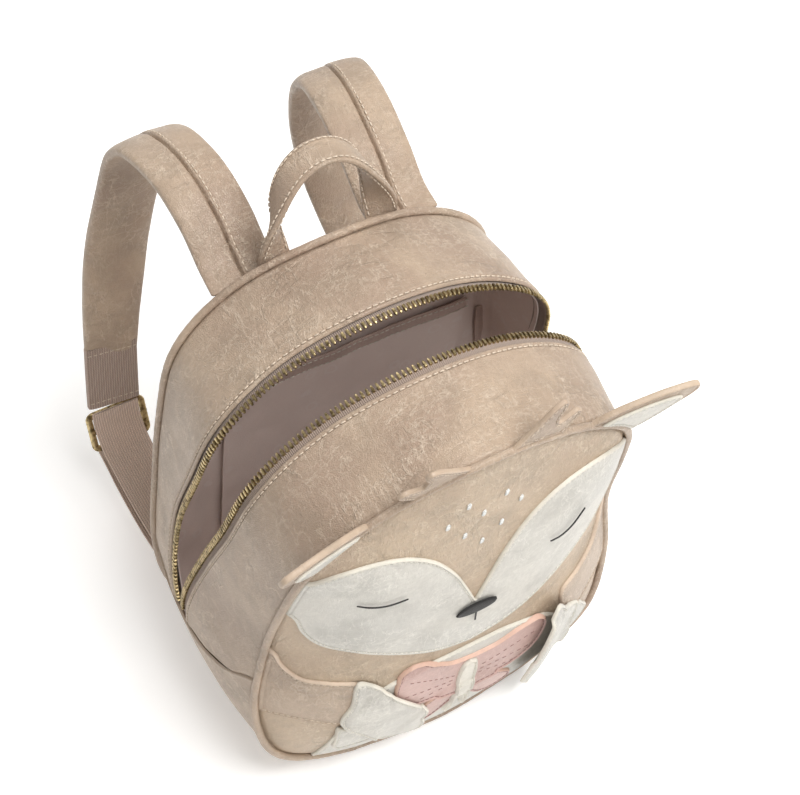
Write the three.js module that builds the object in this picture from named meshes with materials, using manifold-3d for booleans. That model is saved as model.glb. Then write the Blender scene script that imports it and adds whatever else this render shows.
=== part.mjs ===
// A toddler's backpack in soft imitation leather, with a sleeping fawn sewn on its front and its zip open.
// Millimetres. X runs to the right seen from the front, the fawn looks along -Y, the straps are at +Y.
// +Z is up, and the origin is on the floor under the middle of the base.
import * as THREE from "three";
import { mergeVertices } from "three/addons/utils/BufferGeometryUtils.js";
import Module from "manifold-3d";

const wasm = await Module();
wasm.setup();

// The bag
const BAG_WIDTH = 230;
const BAG_HEIGHT = 292;
const BAG_DEPTH = 157; // from the front seam to the back seam over the open top
const LEATHER = 2.2; // wall of leather on its foam backing
const SEAM_GAP = 0.3; // clearance between any two pieces that are sewn together
const PIPING_RADIUS = 2.2;
const BASE_RISE = 2.8; // height of the seams over the floor, so that the base alone rests on it
const FACE_FULLNESS = 0.522; // how far forward the middle of the face stands, as a share of the depth
const BACK_FULLNESS = 0.53;
const GUSSET_BULGE = 6; // how far the sides swell between their two seams

// The open zip
const MOUTH_WIDTH = 34.5;
const TAPE_WIDTH = 6.5;
const TAPE_THICKNESS = 1.1;
const TEETH_WIDTH = 3;
const TEETH_THICKNESS = 2.6;
const SLIDER = { width: 10, length: 13, height: 4.5, pullWidth: 7, pullLength: 24, pullThickness: 2 };

// The lining and its pocket
const LINING = 1;
const LINING_GAP = 1;
const POCKET_WIDTH = 150;
const POCKET_HEIGHT = 118;
const POCKET_TOP = 192;
const POCKET_THICKNESS = 1.2;

// The fawn's sewn leaves
const LEAF = 1.5;
const LEAF_STEP = LEAF + SEAM_GAP; // each level of leaves lies one step further forward
const NOSE = { halfWidth: 12, halfHeight: 5.6, up: 159 };
const HOOF_SWING = { left: 0, right: 26 }; // degrees that each hoof hangs away from the other
const WRIST = { across: 68, up: 94 };
const BOW_TILT = -7;
const BOW_CENTRE = { across: 2, up: 77 };
const EAR_LEAN = { left: 22, right: 16 };
const EAR = { from: 1.22, to: 2.04, length: 50, thickness: 3.5, liner: 1.2 };
const ANTLER = { from: 0.21, to: 0.76, height: 31, thickness: 2.6, lean: { left: 28, right: 4 } };

// The handle and the straps
const HANDLE = { spread: 64, rise: 53, lean: 13, width: 18.6, thickness: 4, foot: 12, tuck: 1.85 };
const HANDLE_STEPS = 26;
const STRAP_STEPS = 15;
const BAND_STEPS = 6;
const HANDLE_ROUND = 0.9; // the arch's power: 1 is a half ellipse, and less is squarer
const HANDLE_ON_EDGE = 0.9; // the share of its rise at which the handle stands on its edge
const STRAP_WIDTH = 40;
const STRAP_THICKNESS = 9;
const SLEEVE_WIDTH = 31;
const SLEEVE_THICKNESS = 5;
const WEBBING_WIDTH = 30;
const WEBBING_THICKNESS = 1.8;
const BUCKLE = { across: 0.8, width: 39, height: 29, bar: 4.2, thickness: 2.8, lean: 21 };

// How finely round things are cut
const ROUND = 48;
const PIPING_SIDES = 5;

const HALF_WIDTH = BAG_WIDTH / 2;
const EDGE = PIPING_RADIUS + SEAM_GAP; // from the middle of a piping to the piece that it borders
const HALF_TURN = 8; // stations from the top of the rim to its foot
const WHOLE_TURN = 2 * HALF_TURN;

// The two seams, half way round from the top to the foot. across is a share of half the width and
// up one of the height; front and back are shares of the depth.
const RIM = [
  { across: 0, up: 1, front: -0.497, back: 0.503 },
  { across: 0.47, up: 0.938, front: -0.459, back: 0.548 },
  { across: 0.8, up: 0.835, front: -0.433, back: 0.535 },
  { across: 0.9, up: 0.664, front: -0.369, back: 0.522 },
  { across: 0.94, up: 0.469, front: -0.306, back: 0.522 },
  { across: 1, up: 0.271, front: -0.325, back: 0.459 },
  { across: 0.9, up: 0.1, front: -0.376, back: 0.414 },
  { across: 0.51, up: 0, front: -0.395, back: 0.376 },
  { across: 0, up: 0, front: -0.433, back: 0.363 },
];

// The zip's course over the sides and the top, by station: the middle of the mouth as a share of the
// way from the front seam to the back seam, and how wide it gapes as a share of its full width.
const ZIP = [
  { at: 0, middle: 0.52, open: 1 },
  { at: 1, middle: 0.5, open: 1 },
  { at: 2, middle: 0.475, open: 0.95 },
  { at: 3, middle: 0.51, open: 0.92 },
  { at: 4, middle: 0.61, open: 0.82 },
  { at: 4.6, middle: 0.66, open: 0.45 },
  { at: 5, middle: 0.675, open: 0.12 },
  { at: 5.3, middle: 0.675, open: 0.12 },
];
const ZIP_FOOT = 5.1; // the station at which the mouth is shut

// The stations over which the swelling side turns into the flat base
const BASE_TURN = { from: 5.8, to: 6.8 };

// The seam where the sides meet the boot that wraps the base, by share of the way to the back seam.
const BOOT_SEAM = [
  { at: 0, station: 4.42 },
  { at: 0.22, station: 4.85 },
  { at: 0.45, station: 5.08 },
  { at: 0.6, station: 5.16 },
  { at: 0.75, station: 5.16 },
  { at: 0.88, station: 5 },
  { at: 1, station: 4.75 },
];

// A shoulder strap's middle line, from the back seam over the shoulder and down to its buckle.
// across is a share of half the bag's width, back one of its depth, up one of its height;
// width and thick are shares of the strap's own.
const STRAP = [
  { across: 0.417, back: 0.566, up: 0.918, width: 1, thick: 0.6 },
  { across: 0.415, back: 0.66, up: 0.93, width: 1, thick: 0.9 },
  { across: 0.42, back: 0.79, up: 0.972, width: 1, thick: 1 },
  { across: 0.44, back: 0.97, up: 1, width: 1, thick: 1 },
  { across: 0.475, back: 1.17, up: 0.978, width: 1, thick: 1 },
  { across: 0.495, back: 1.26, up: 0.92, width: 1, thick: 1 },
  { across: 0.53, back: 1.315, up: 0.79, width: 1, thick: 1 },
  { across: 0.61, back: 1.325, up: 0.62, width: 0.99, thick: 1 },
  { across: 0.7, back: 1.265, up: 0.45, width: 0.92, thick: 0.95 },
  { across: 0.746, back: 1.215, up: 0.368, width: 0.83, thick: 0.7 },
];
const SLEEVE = [
  { across: 0.747, back: 1.2135, up: 0.3645 },
  { across: 0.775, back: 1.175, up: 0.3 },
  { across: 0.793, back: 1.146, up: 0.246 },
];
// The webbing starts on the buckle's middle bar and its return below the buckle: ways from its centre.
const WEBBING_START = { forward: 2.7, down: 1.35 };
const RETURN_START = { forward: 5.3, down: 15.6 };
const WEBBING = [
  { across: 0.805, back: 0.93, up: 0.165 },
  { across: 0.8, back: 0.72, up: 0.15 },
  { across: 0.785, back: 0.438, up: 0.146 },
];
const WEBBING_RETURN = [
  { across: 0.805, back: 0.92, up: 0.118 },
  { across: 0.8, back: 0.71, up: 0.105 },
  { across: 0.785, back: 0.437, up: 0.118 },
];

// Outlines of the sewn leaves: across is a share of half the width, up one of the height.
// Those with two like halves are charted for one side, from the top to the foot.
const MASK_HALF = [
  { across: 0, up: 0.562 },
  { across: 0.055, up: 0.62 },
  { across: 0.13, up: 0.69 },
  { across: 0.245, up: 0.76 },
  { across: 0.39, up: 0.802 },
  { across: 0.557, up: 0.818 },
  { across: 0.71, up: 0.808 },
  { across: 0.82, up: 0.787 },
  { across: 0.99, up: 0.79 },
  { across: 0.99, up: 0.7 },
  { across: 0.86, up: 0.655 },
  { across: 0.81, up: 0.59 },
  { across: 0.74, up: 0.545 },
  { across: 0.609, up: 0.514 },
  { across: 0.417, up: 0.473 },
  { across: 0.183, up: 0.429 },
  { across: 0, up: 0.414 },
];
const BELLY_HALF = [
  { across: 0, up: 0.387 },
  { across: 0.243, up: 0.38 },
  { across: 0.452, up: 0.349 },
  { across: 0.591, up: 0.274 },
  { across: 0.678, up: 0.171 },
  { across: 0.72, up: 0.06 },
  { across: 0.72, up: -0.02 },
  { across: 0, up: -0.02 },
];
const BOW_HALF = [
  { across: 0, up: 0.082 },
  { across: 0.12, up: 0.088 },
  { across: 0.24, up: 0.112 },
  { across: 0.345, up: 0.121 },
  { across: 0.41, up: 0.1 },
  { across: 0.425, up: 0.05 },
  { across: 0.39, up: -0.005 },
  { across: 0.28, up: -0.04 },
  { across: 0.13, up: -0.052 },
  { across: 0, up: -0.058 },
];
const TAILS_HALF = [
  { across: 0, up: -0.02 },
  { across: 0.12, up: -0.036 },
  { across: 0.25, up: -0.082 },
  { across: 0.32, up: -0.12 },
  { across: 0.325, up: -0.15 },
  { across: 0.25, up: -0.172 },
  { across: 0.14, up: -0.152 },
  { across: 0.045, up: -0.1 },
  { across: 0, up: -0.086 },
];
const KNOT_HALF = [
  { across: 0, up: 0.074 },
  { across: 0.036, up: 0.066 },
  { across: 0.052, up: 0.04 },
  { across: 0.054, up: 0 },
  { across: 0.05, up: -0.06 },
  { across: 0.06, up: -0.11 },
  { across: 0.072, up: -0.15 },
  { across: 0.048, up: -0.172 },
  { across: 0.025, up: -0.15 },
  { across: 0.016, up: -0.11 },
  { across: 0, up: -0.095 },
];
const ARM = [
  { across: 1.05, up: 0.52 },
  { across: 0.9, up: 0.49 },
  { across: 0.865, up: 0.449 },
  { across: 0.805, up: 0.418 },
  { across: 0.69, up: 0.408 },
  { across: 0.56, up: 0.392 },
  { across: 0.575, up: 0.32 },
  { across: 0.625, up: 0.255 },
  { across: 0.82, up: 0.281 },
  { across: 1.05, up: 0.31 },
];
const HOOF = [
  { across: 0.57, up: 0.4 },
  { across: 0.5, up: 0.385 },
  { across: 0.41, up: 0.34 },
  { across: 0.315, up: 0.285 },
  { across: 0.215, up: 0.22 },
  { across: 0.17, up: 0.18 },
  { across: 0.185, up: 0.15 },
  { across: 0.165, up: 0.115 },
  { across: 0.2, up: 0.085 },
  { across: 0.29, up: 0.078 },
  { across: 0.4, up: 0.11 },
  { across: 0.53, up: 0.19 },
  { across: 0.645, up: 0.262 },
  { across: 0.6, up: 0.325 },
];
const LOWER_HOOF = [
  { across: 0.645, up: 0.238 },
  { across: 0.66, up: 0.19 },
  { across: 0.65, up: 0.136 },
  { across: 0.56, up: 0.128 },
  { across: 0.45, up: 0.135 },
  { across: 0.5, up: 0.2 },
];

// An antler's outline: along is a share of its foot's length, out one of its height.
const ANTLER_OUTLINE = [
  { along: 0.08, out: 0.16 },
  { along: 0.24, out: 0.5 },
  { along: 0.4, out: 0.88 },
  { along: 0.55, out: 1 },
  { along: 0.66, out: 0.9 },
  { along: 0.66, out: 0.6 },
  { along: 0.76, out: 0.38 },
  { along: 1.02, out: 0.6 },
  { along: 1.16, out: 0.52 },
  { along: 1.12, out: 0.34 },
];
// An ear's outline: along is a share of its foot's length, out one of its length.
const EAR_OUTLINE = [
  { along: 0.02, out: 0.22 },
  { along: 0.16, out: 0.5 },
  { along: 0.42, out: 0.82 },
  { along: 0.72, out: 1 },
  { along: 0.86, out: 0.93 },
  { along: 0.97, out: 0.62 },
  { along: 1.02, out: 0.28 },
];

const FINISH = {
  leather: new THREE.MeshStandardMaterial({ color: 0xb3a08f, roughness: 0.5, metalness: 0 }),
  cream: new THREE.MeshStandardMaterial({ color: 0xe2dfd7, roughness: 0.5, metalness: 0 }),
  pink: new THREE.MeshStandardMaterial({ color: 0xd3b2ab, roughness: 0.5, metalness: 0 }),
  satin: new THREE.MeshStandardMaterial({ color: 0x2a2826, roughness: 0.4, metalness: 0 }),
  lining: new THREE.MeshStandardMaterial({ color: 0x8f7f7b, roughness: 0.8, metalness: 0 }),
  webbing: new THREE.MeshStandardMaterial({ color: 0x9c877d, roughness: 0.9, metalness: 0 }),
  brass: new THREE.MeshStandardMaterial({ color: 0x9a834f, roughness: 0.4, metalness: 1 }),
};

function clamp(value, low, high) {
  return Math.min(high, Math.max(low, value));
}

function mix(a, b, share) {
  return a + (b - a) * share;
}

function smoothStep(from, to, value) {
  const share = clamp((value - from) / (to - from), 0, 1);
  return share * share * (3 - 2 * share);
}

// A cubic through four neighbouring values.
function cubic(a, b, c, d, share) {
  const slopeIn = (c - a) / 2;
  const slopeOut = (d - b) / 2;
  const square = share * share;
  const cube = square * share;
  return (
    b * (2 * cube - 3 * square + 1) +
    slopeIn * (cube - 2 * square + share) +
    c * (3 * square - 2 * cube) +
    slopeOut * (cube - square)
  );
}

// A column of a table whose rows are placed by their "at" value.
function lookUp(table, column, at) {
  const last = table.length - 1;
  const place = clamp(at, table[0].at, table[last].at);
  let row = 0;
  while (row < last - 1 && table[row + 1].at < place) row += 1;
  const share = (place - table[row].at) / (table[row + 1].at - table[row].at);
  const before = table[Math.max(row - 1, 0)][column];
  const after = table[Math.min(row + 2, last)][column];
  return cubic(before, table[row][column], table[row + 1][column], after, share);
}

// A row of the rim, counted all the way round: stations past the foot come up the other side.
function rimRow(station) {
  const turn = ((station % WHOLE_TURN) + WHOLE_TURN) % WHOLE_TURN;
  const mirrored = turn > HALF_TURN;
  const row = RIM[mirrored ? WHOLE_TURN - turn : turn];
  return { ...row, across: mirrored ? -row.across : row.across };
}

function rimColumn(column, station) {
  const whole = Math.floor(station);
  const rows = [-1, 0, 1, 2].map((step) => rimRow(whole + step)[column]);
  return cubic(...rows, station - whole);
}

function rimPlace(station) {
  const x = rimColumn("across", station) * HALF_WIDTH;
  const z = Math.max(rimColumn("up", station) * (BAG_HEIGHT - BASE_RISE) + BASE_RISE, BASE_RISE);
  return new THREE.Vector2(x, z);
}

// The seams at a station: their place in the front view, the way out of the bag, and their depths.
function rim(station) {
  const step = 0.02;
  const place = rimPlace(station);
  const along = rimPlace(station + step).sub(rimPlace(station - step)).normalize();
  return {
    x: place.x,
    z: place.y,
    outX: -along.y,
    outZ: along.x,
    front: rimColumn("front", station) * BAG_DEPTH,
    back: rimColumn("back", station) * BAG_DEPTH,
  };
}

// Stations from the top, whichever side they are on.
function fromTop(station) {
  const turn = ((station % WHOLE_TURN) + WHOLE_TURN) % WHOLE_TURN;
  return Math.min(turn, WHOLE_TURN - turn);
}

// How far the side stands out between its seams. At the base it drops flat onto the floor.
function swell(station, share) {
  const down = fromTop(station);
  const atBase = smoothStep(BASE_TURN.from, BASE_TURN.to, down);
  const side = GUSSET_BULGE * mix(0.5, 1, smoothStep(0, 2, down)) * 4 * share * (1 - share);
  const base = BASE_RISE * smoothStep(0.02, 0.1, share) * smoothStep(0.02, 0.1, 1 - share);
  return mix(side, base, atBase);
}

// A point of the side, share of the way from the front seam to the back seam, out from its skin.
function sidePoint(station, share, out) {
  const seam = rim(station);
  const away = swell(station, share) + out;
  const y = mix(seam.front, seam.back, share);
  return new THREE.Vector3(seam.x + seam.outX * away, y, seam.z + seam.outZ * away);
}

function sideDepth(station) {
  const seam = rim(station);
  return seam.back - seam.front;
}

// The line of zip teeth on one side of the mouth, as a share; forward is -1 and backward +1.
function teethShare(station, side) {
  const down = fromTop(station);
  const middle = lookUp(ZIP, "middle", down);
  const half = (lookUp(ZIP, "open", down) * MOUTH_WIDTH) / 2;
  return middle + (side * half) / sideDepth(station);
}

function shareAtTeeth(station, side, awayFromMouth) {
  return teethShare(station, side) + (side * awayFromMouth) / sideDepth(station);
}

// Where a panel's edge runs, inset from the middle of its piping.
function panelEdge(station, inset) {
  const seam = rim(station);
  return { x: seam.x - seam.outX * inset, z: seam.z - seam.outZ * inset, seam };
}

const FACE_MIDDLE = 0.514 * BAG_HEIGHT;
const FACE_FLATNESS = { above: 3, below: 3.7 }; // the power by which the face turns back
const FACE_Y = -FACE_FULLNESS * BAG_DEPTH;
const BACK_Y = BACK_FULLNESS * BAG_DEPTH;

// The front panel is flat in its middle and turns back towards its piping.
function facePoint(station, reach, inset, shift) {
  const edge = panelEdge(station, inset);
  const low = clamp((FACE_MIDDLE - edge.z) / FACE_MIDDLE, 0, 1);
  const power = mix(FACE_FLATNESS.above, FACE_FLATNESS.below, low);
  const y = mix(FACE_Y, edge.seam.front, reach ** power) + shift;
  return new THREE.Vector3(edge.x * reach, y, mix(FACE_MIDDLE, edge.z, reach));
}

function backPoint(station, reach, inset, shift) {
  const edge = panelEdge(station, inset);
  const y = mix(BACK_Y, edge.seam.back, reach ** 2) + shift;
  return new THREE.Vector3(edge.x * reach, y, mix(FACE_MIDDLE, edge.z, reach));
}

// A closed geometry from points and triangles, turned to face outwards.
function closedGeometry(points, triangles) {
  let volume = 0;
  for (const [a, b, c] of triangles) {
    volume += points[a].dot(new THREE.Vector3().crossVectors(points[b], points[c]));
  }
  const facing = volume < 0 ? triangles.map(([a, b, c]) => [a, c, b]) : triangles;
  const geometry = new THREE.BufferGeometry().setFromPoints(points);
  geometry.setIndex(facing.flat());
  geometry.computeVertexNormals();
  return geometry;
}

// A wall between an outer and an inner skin, each given as rows of points. Rows that go all the way
// round are closed on themselves, and a first row of one point is a pole.
function wallGeometry(outer, inner, closed) {
  const points = [...outer.flat(), ...inner.flat()];
  const triangles = [];
  const starts = [];
  let count = 0;
  for (const row of outer) {
    starts.push(count);
    count += row.length;
  }
  const at = (row, column) => starts[row] + (column % outer[row].length);
  const columns = outer[outer.length - 1].length;
  const steps = closed ? columns : columns - 1;
  const quad = (a, b, c, d) => {
    if (a !== b) triangles.push([a, b, c]);
    triangles.push([a, c, d]);
  };
  for (let row = 0; row < outer.length - 1; row += 1) {
    for (let column = 0; column < steps; column += 1) {
      const [a, b] = [at(row, column), at(row, column + 1)];
      const [c, d] = [at(row + 1, column + 1), at(row + 1, column)];
      quad(a, b, c, d);
      if (a === b) triangles.push([a + count, d + count, c + count]);
      else quad(a + count, d + count, c + count, b + count);
    }
  }
  const rimQuad = (a, b) => quad(b, a, a + count, b + count);
  for (let column = 0; column < steps; column += 1) {
    const last = outer.length - 1;
    if (outer[0].length > 1) rimQuad(at(0, column), at(0, column + 1));
    rimQuad(at(last, column + 1), at(last, column));
  }
  for (let row = 0; !closed && row < outer.length - 1; row += 1) {
    rimQuad(at(row + 1, 0), at(row, 0));
    rimQuad(at(row, columns - 1), at(row + 1, columns - 1));
  }
  return closedGeometry(points, triangles);
}

// A body through rows of closed sections, with flat ends unless it closes on itself.
function sweptGeometry(sections, closed) {
  const sides = sections[0].length;
  const points = sections.flat();
  const triangles = [];
  const steps = closed ? sections.length : sections.length - 1;
  for (let row = 0; row < steps; row += 1) {
    const next = (row + 1) % sections.length;
    for (let side = 0; side < sides; side += 1) {
      const [a, b] = [row * sides + side, row * sides + ((side + 1) % sides)];
      const [d, c] = [next * sides + side, next * sides + ((side + 1) % sides)];
      triangles.push([a, b, c], [a, c, d]);
    }
  }
  const end = (sections.length - 1) * sides;
  for (let side = 1; !closed && side < sides - 1; side += 1) {
    triangles.push([0, side + 1, side], [end, end + side, end + side + 1]);
  }
  return closedGeometry(points, triangles);
}

function solidOf(geometry) {
  const plain = geometry.clone();
  plain.deleteAttribute("normal");
  plain.deleteAttribute("uv");
  const merged = mergeVertices(plain, 1e-4);
  const mesh = new wasm.Mesh({
    numProp: 3,
    vertProperties: new Float32Array(merged.attributes.position.array),
    triVerts: new Uint32Array(merged.index.array),
  });
  return new wasm.Manifold(mesh);
}

function geometryOf(solid) {
  const mesh = solid.getMesh();
  const geometry = new THREE.BufferGeometry();
  geometry.setAttribute("position", new THREE.BufferAttribute(mesh.vertProperties, 3));
  geometry.setIndex(new THREE.BufferAttribute(mesh.triVerts, 1));
  geometry.computeVertexNormals();
  return geometry;
}

function evenly(from, to, steps) {
  return Array.from({ length: steps + 1 }, (_, step) => mix(from, to, step / steps));
}

function addMesh(group, name, geometry, finish) {
  const mesh = new THREE.Mesh(geometry, finish);
  mesh.name = name;
  group.add(mesh);
  return mesh;
}

const ALL_ROUND = evenly(0, WHOLE_TURN, ROUND).slice(0, -1);

// The front and the back panel
function panelGeometry(pointOf, reaches, inset, outerShift, innerShift) {
  const skin = (shift) => [
    [pointOf(0, 0, inset, shift)],
    ...reaches.map((reach) => ALL_ROUND.map((station) => pointOf(station, reach, inset, shift))),
  ];
  return wallGeometry(skin(outerShift), skin(innerShift), true);
}

const FACE_REACHES = [0.38, 0.62, 0.8, 0.91, 1];
const BACK_REACHES = [0.5, 0.8, 1];

function buildPanels(group) {
  const face = panelGeometry(facePoint, FACE_REACHES, EDGE, 0, LEATHER);
  const back = panelGeometry(backPoint, BACK_REACHES, EDGE, 0, -LEATHER);
  addMesh(group, "front_panel", face, FINISH.leather);
  addMesh(group, "back_panel", back, FINISH.leather);
}

// A piping's round cord along one seam
function pipingGeometry(depthOf) {
  const sections = ALL_ROUND.map((station) => {
    const seam = rim(station);
    return evenly(0, 2 * Math.PI, PIPING_SIDES)
      .slice(0, -1)
      .map((angle) => {
        const out = Math.cos(angle) * PIPING_RADIUS;
        const y = depthOf(seam) + Math.sin(angle) * PIPING_RADIUS;
        return new THREE.Vector3(seam.x + seam.outX * out, y, seam.z + seam.outZ * out);
      });
  });
  return sweptGeometry(sections, true);
}

function buildPipings(group) {
  addMesh(group, "front_piping", pipingGeometry((seam) => seam.front), FINISH.leather);
  addMesh(group, "back_piping", pipingGeometry((seam) => seam.back), FINISH.leather);
}

function bootStation(share) {
  return lookUp(BOOT_SEAM, "station", share);
}

// Half the seam's gap along the rim, in stations: one station is about this long
const STATION_LENGTH = (Math.PI * (BAG_WIDTH + BAG_HEIGHT)) / 2 / WHOLE_TURN;
const HALF_GAP_STATION = SEAM_GAP / STATION_LENGTH;
const GRID = WHOLE_TURN / ROUND;
const SIDE_GRID = 4.2; // above this station every strip of the side has the same stations
const BOOT_GRID = 5.4; // and below this one the boot has them too

// Stations from one end of a strip to the other, alike for all strips between their last few.
function sideStations(end) {
  const count = Math.floor(SIDE_GRID / GRID);
  const last = count * GRID;
  const foot = [1 / 3, 2 / 3, 1].map((share) => mix(last, end, share));
  const common = evenly(-last, last, 2 * count);
  return [...foot.map((station) => -station).reverse(), ...common, ...foot];
}

// The station at which a strip's edge meets the boot's seam.
function endStation(edge) {
  let station = ZIP_FOOT;
  for (let pass = 0; pass < 8; pass += 1) station = bootStation(edge(station));
  return station - HALF_GAP_STATION;
}

// A strip of the side between two edges, each a share of the way back at a station. It may stop
// short of the boot's seam.
function sideStrip(edgeA, edgeB, widths, outer, inner, short) {
  const skin = (out) =>
    widths.map((width) => {
      const edge = (station) => mix(edgeA(station), edgeB(station), width);
      return sideStations(endStation(edge) - short / STATION_LENGTH).map((station) =>
        sidePoint(station, edge(station), out),
      );
    });
  return wallGeometry(skin(outer), skin(inner), false);
}

const frontEdge = (station) => EDGE / sideDepth(station);
const backEdge = (station) => 1 - EDGE / sideDepth(station);
const mouthFront = (station) => shareAtTeeth(station, -1, TAPE_WIDTH);
const mouthBack = (station) => shareAtTeeth(station, 1, TAPE_WIDTH);
const FRONT_WIDTHS = [0, 0.16, 0.5, 1];
const BACK_WIDTHS = [0, 0.3, 0.65, 1];

function buildGussets(group) {
  const front = sideStrip(frontEdge, mouthFront, FRONT_WIDTHS, 0, -LEATHER, 0);
  const back = sideStrip(backEdge, mouthBack, BACK_WIDTHS, 0, -LEATHER, 0);
  addMesh(group, "front_gusset", front, FINISH.leather);
  addMesh(group, "back_gusset", back, FINISH.leather);
}

// The boot wraps the base and the lower sides. Its columns meet those of the strips above it.
function bootShares() {
  const shareAtEnd = (edgeA, edgeB, width) => {
    const edge = (station) => mix(edgeA(station), edgeB(station), width);
    return edge(endStation(edge));
  };
  const front = FRONT_WIDTHS.map((width) => shareAtEnd(frontEdge, mouthFront, width));
  const back = BACK_WIDTHS.map((width) => shareAtEnd(backEdge, mouthBack, width));
  return [...front, ...back.reverse()];
}

function bootStations(share) {
  const first = bootStation(share) + HALF_GAP_STATION;
  const count = Math.floor((HALF_TURN - BOOT_GRID) / GRID);
  const common = evenly(HALF_TURN - count * GRID, HALF_TURN + count * GRID, 2 * count);
  const side = [0, 1 / 3, 2 / 3].map((part) => mix(first, HALF_TURN - count * GRID, part));
  return [...side, ...common, ...side.map((station) => WHOLE_TURN - station).reverse()];
}

function buildBoot(group) {
  const skin = (out) =>
    bootShares().map((share) =>
      bootStations(share).map((station) =>
        sidePoint(station, clamp(share, frontEdge(station), backEdge(station)), out),
      ),
    );
  addMesh(group, "boot", wallGeometry(skin(0), skin(-LEATHER), false), FINISH.leather);
}

// The zip: a tape under each leather edge, its row of teeth, and the slider at the far end
const TAPE_TOP = -0.5; // the tape lies a little under the skin
const ZIP_SHORT = 1; // how far the zip stops short of the boot

function buildZip(group) {
  for (const [name, side] of [["front", -1], ["back", 1]]) {
    const half = TEETH_WIDTH / 2;
    const leatherEdge = (station) => shareAtTeeth(station, side, TAPE_WIDTH - SEAM_GAP);
    const tapeEdge = (station) => shareAtTeeth(station, side, half + SEAM_GAP);
    const teethOuter = (station) => shareAtTeeth(station, side, half);
    const teethInner = (station) => shareAtTeeth(station, side, -half);
    const tapeFoot = TAPE_TOP - TAPE_THICKNESS;
    const tape = sideStrip(leatherEdge, tapeEdge, [0, 1], TAPE_TOP, tapeFoot, ZIP_SHORT);
    const teethTop = (TEETH_THICKNESS - TAPE_THICKNESS) / 2 + TAPE_TOP;
    const teethFoot = teethTop - TEETH_THICKNESS;
    const teeth = sideStrip(teethOuter, teethInner, [0, 1], teethTop, teethFoot, ZIP_SHORT);
    addMesh(group, `zip_tape_${name}`, tape, FINISH.webbing);
    addMesh(group, `zip_teeth_${name}`, teeth, FINISH.brass);
  }
  buildSlider(group);
}

function buildSlider(group) {
  const station = ZIP_FOOT - SLIDER.length / STATION_LENGTH;
  const share = (teethShare(station, -1) + teethShare(station, 1)) / 2;
  const teethTop = (TEETH_THICKNESS - TAPE_THICKNESS) / 2 + TAPE_TOP;
  const clear = teethTop + 2 * SEAM_GAP;
  const down = sidePoint(station + 0.1, share, clear).sub(sidePoint(station - 0.1, share, clear));
  const seam = rim(station);
  const out = new THREE.Vector3(seam.outX, 0, seam.outZ);
  const basis = new THREE.Matrix4().makeBasis(
    new THREE.Vector3(0, -1, 0),
    down.setY(0).normalize(),
    out,
  );
  const body = new THREE.BoxGeometry(SLIDER.width, SLIDER.length, SLIDER.height);
  body.translate(0, 0, SLIDER.height / 2);
  const pull = new THREE.BoxGeometry(SLIDER.pullWidth, SLIDER.pullLength, SLIDER.pullThickness);
  pull.translate(0, SLIDER.pullLength / 2, SLIDER.height);
  const joined = geometryOf(solidOf(body).add(solidOf(pull)));
  const mesh = addMesh(group, "zip_slider", joined, FINISH.brass);
  mesh.applyMatrix4(basis.setPosition(sidePoint(station, share, clear)));
}

// The lining is two bowls that meet under the zip, one in the front half and one in the back half
const LINING_REACHES = [0.6, 1];

function liningGeometry(pointOf, side) {
  const inward = -side;
  const mouthEdge = (station) => {
    const share = shareAtTeeth(station, side, TAPE_WIDTH);
    const middle = lookUp(ZIP, "middle", ZIP_FOOT);
    const meeting = middle + (side * SEAM_GAP) / sideDepth(station);
    return mix(share, meeting, smoothStep(ZIP_FOOT - 0.6, ZIP_FOOT, fromTop(station)));
  };
  const corner = (station, depth) => {
    const edge = depth / sideDepth(station);
    return side < 0 ? edge : 1 - edge;
  };
  const skin = (depth) => {
    const panel = LINING_REACHES.map((reach) =>
      ALL_ROUND.map((station) => pointOf(station, reach, depth, inward * depth)),
    );
    const strip = [0, 1].map((width) =>
      ALL_ROUND.map((station) => {
        const share = mix(corner(station, depth + EDGE), mouthEdge(station), width);
        return sidePoint(station, share, -depth);
      }),
    );
    return [[pointOf(0, 0, depth, inward * depth)], ...panel, ...strip];
  };
  const near = LEATHER + LINING_GAP;
  return wallGeometry(skin(near), skin(near + LINING), true);
}

// The pocket is a sheet on the lining's back wall, its top edge free
function pocketGeometry() {
  const clear = LEATHER + LINING_GAP + LINING + 2 * SEAM_GAP;
  const skin = (depth) =>
    evenly(0, 1, 4).map((rise) =>
      evenly(-1, 1, 6).map((turn) => {
        const x = (turn * POCKET_WIDTH) / 2;
        const z = POCKET_TOP - POCKET_HEIGHT * (1 - rise);
        return new THREE.Vector3(x, liningDepth(x, z) - depth, z);
      }),
    );
  return wallGeometry(skin(clear), skin(clear + POCKET_THICKNESS), false);
}

// How far back the lining's facets leave room, at a place in the front view.
function liningDepth(x, z) {
  const place = new THREE.Vector2(x, z - FACE_MIDDLE);
  for (let index = 0; index < ALL_ROUND.length; index += 1) {
    const ends = [ALL_ROUND[index], ALL_ROUND[(index + 1) % ALL_ROUND.length]];
    const [a, b] = ends.map((station) => {
      const edge = panelEdge(station, EDGE);
      return new THREE.Vector2(edge.x, edge.z - FACE_MIDDLE);
    });
    const area = a.cross(b);
    const shareA = place.cross(b) / area;
    const shareB = a.cross(place) / area;
    if (shareA < 0 || shareB < 0) continue;
    const reach = shareA + shareB;
    const depths = ends.map((station) => facetDepth(station, reach));
    return Math.min(...depths);
  }
  return BACK_Y;
}

function facetDepth(station, reach) {
  const [knee, edge] = LINING_REACHES;
  const depthAt = (value) => backPoint(station, value, EDGE, 0).y;
  if (reach < knee) return mix(depthAt(0), depthAt(knee), reach / knee);
  return mix(depthAt(knee), depthAt(edge), (reach - knee) / (edge - knee));
}

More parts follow.
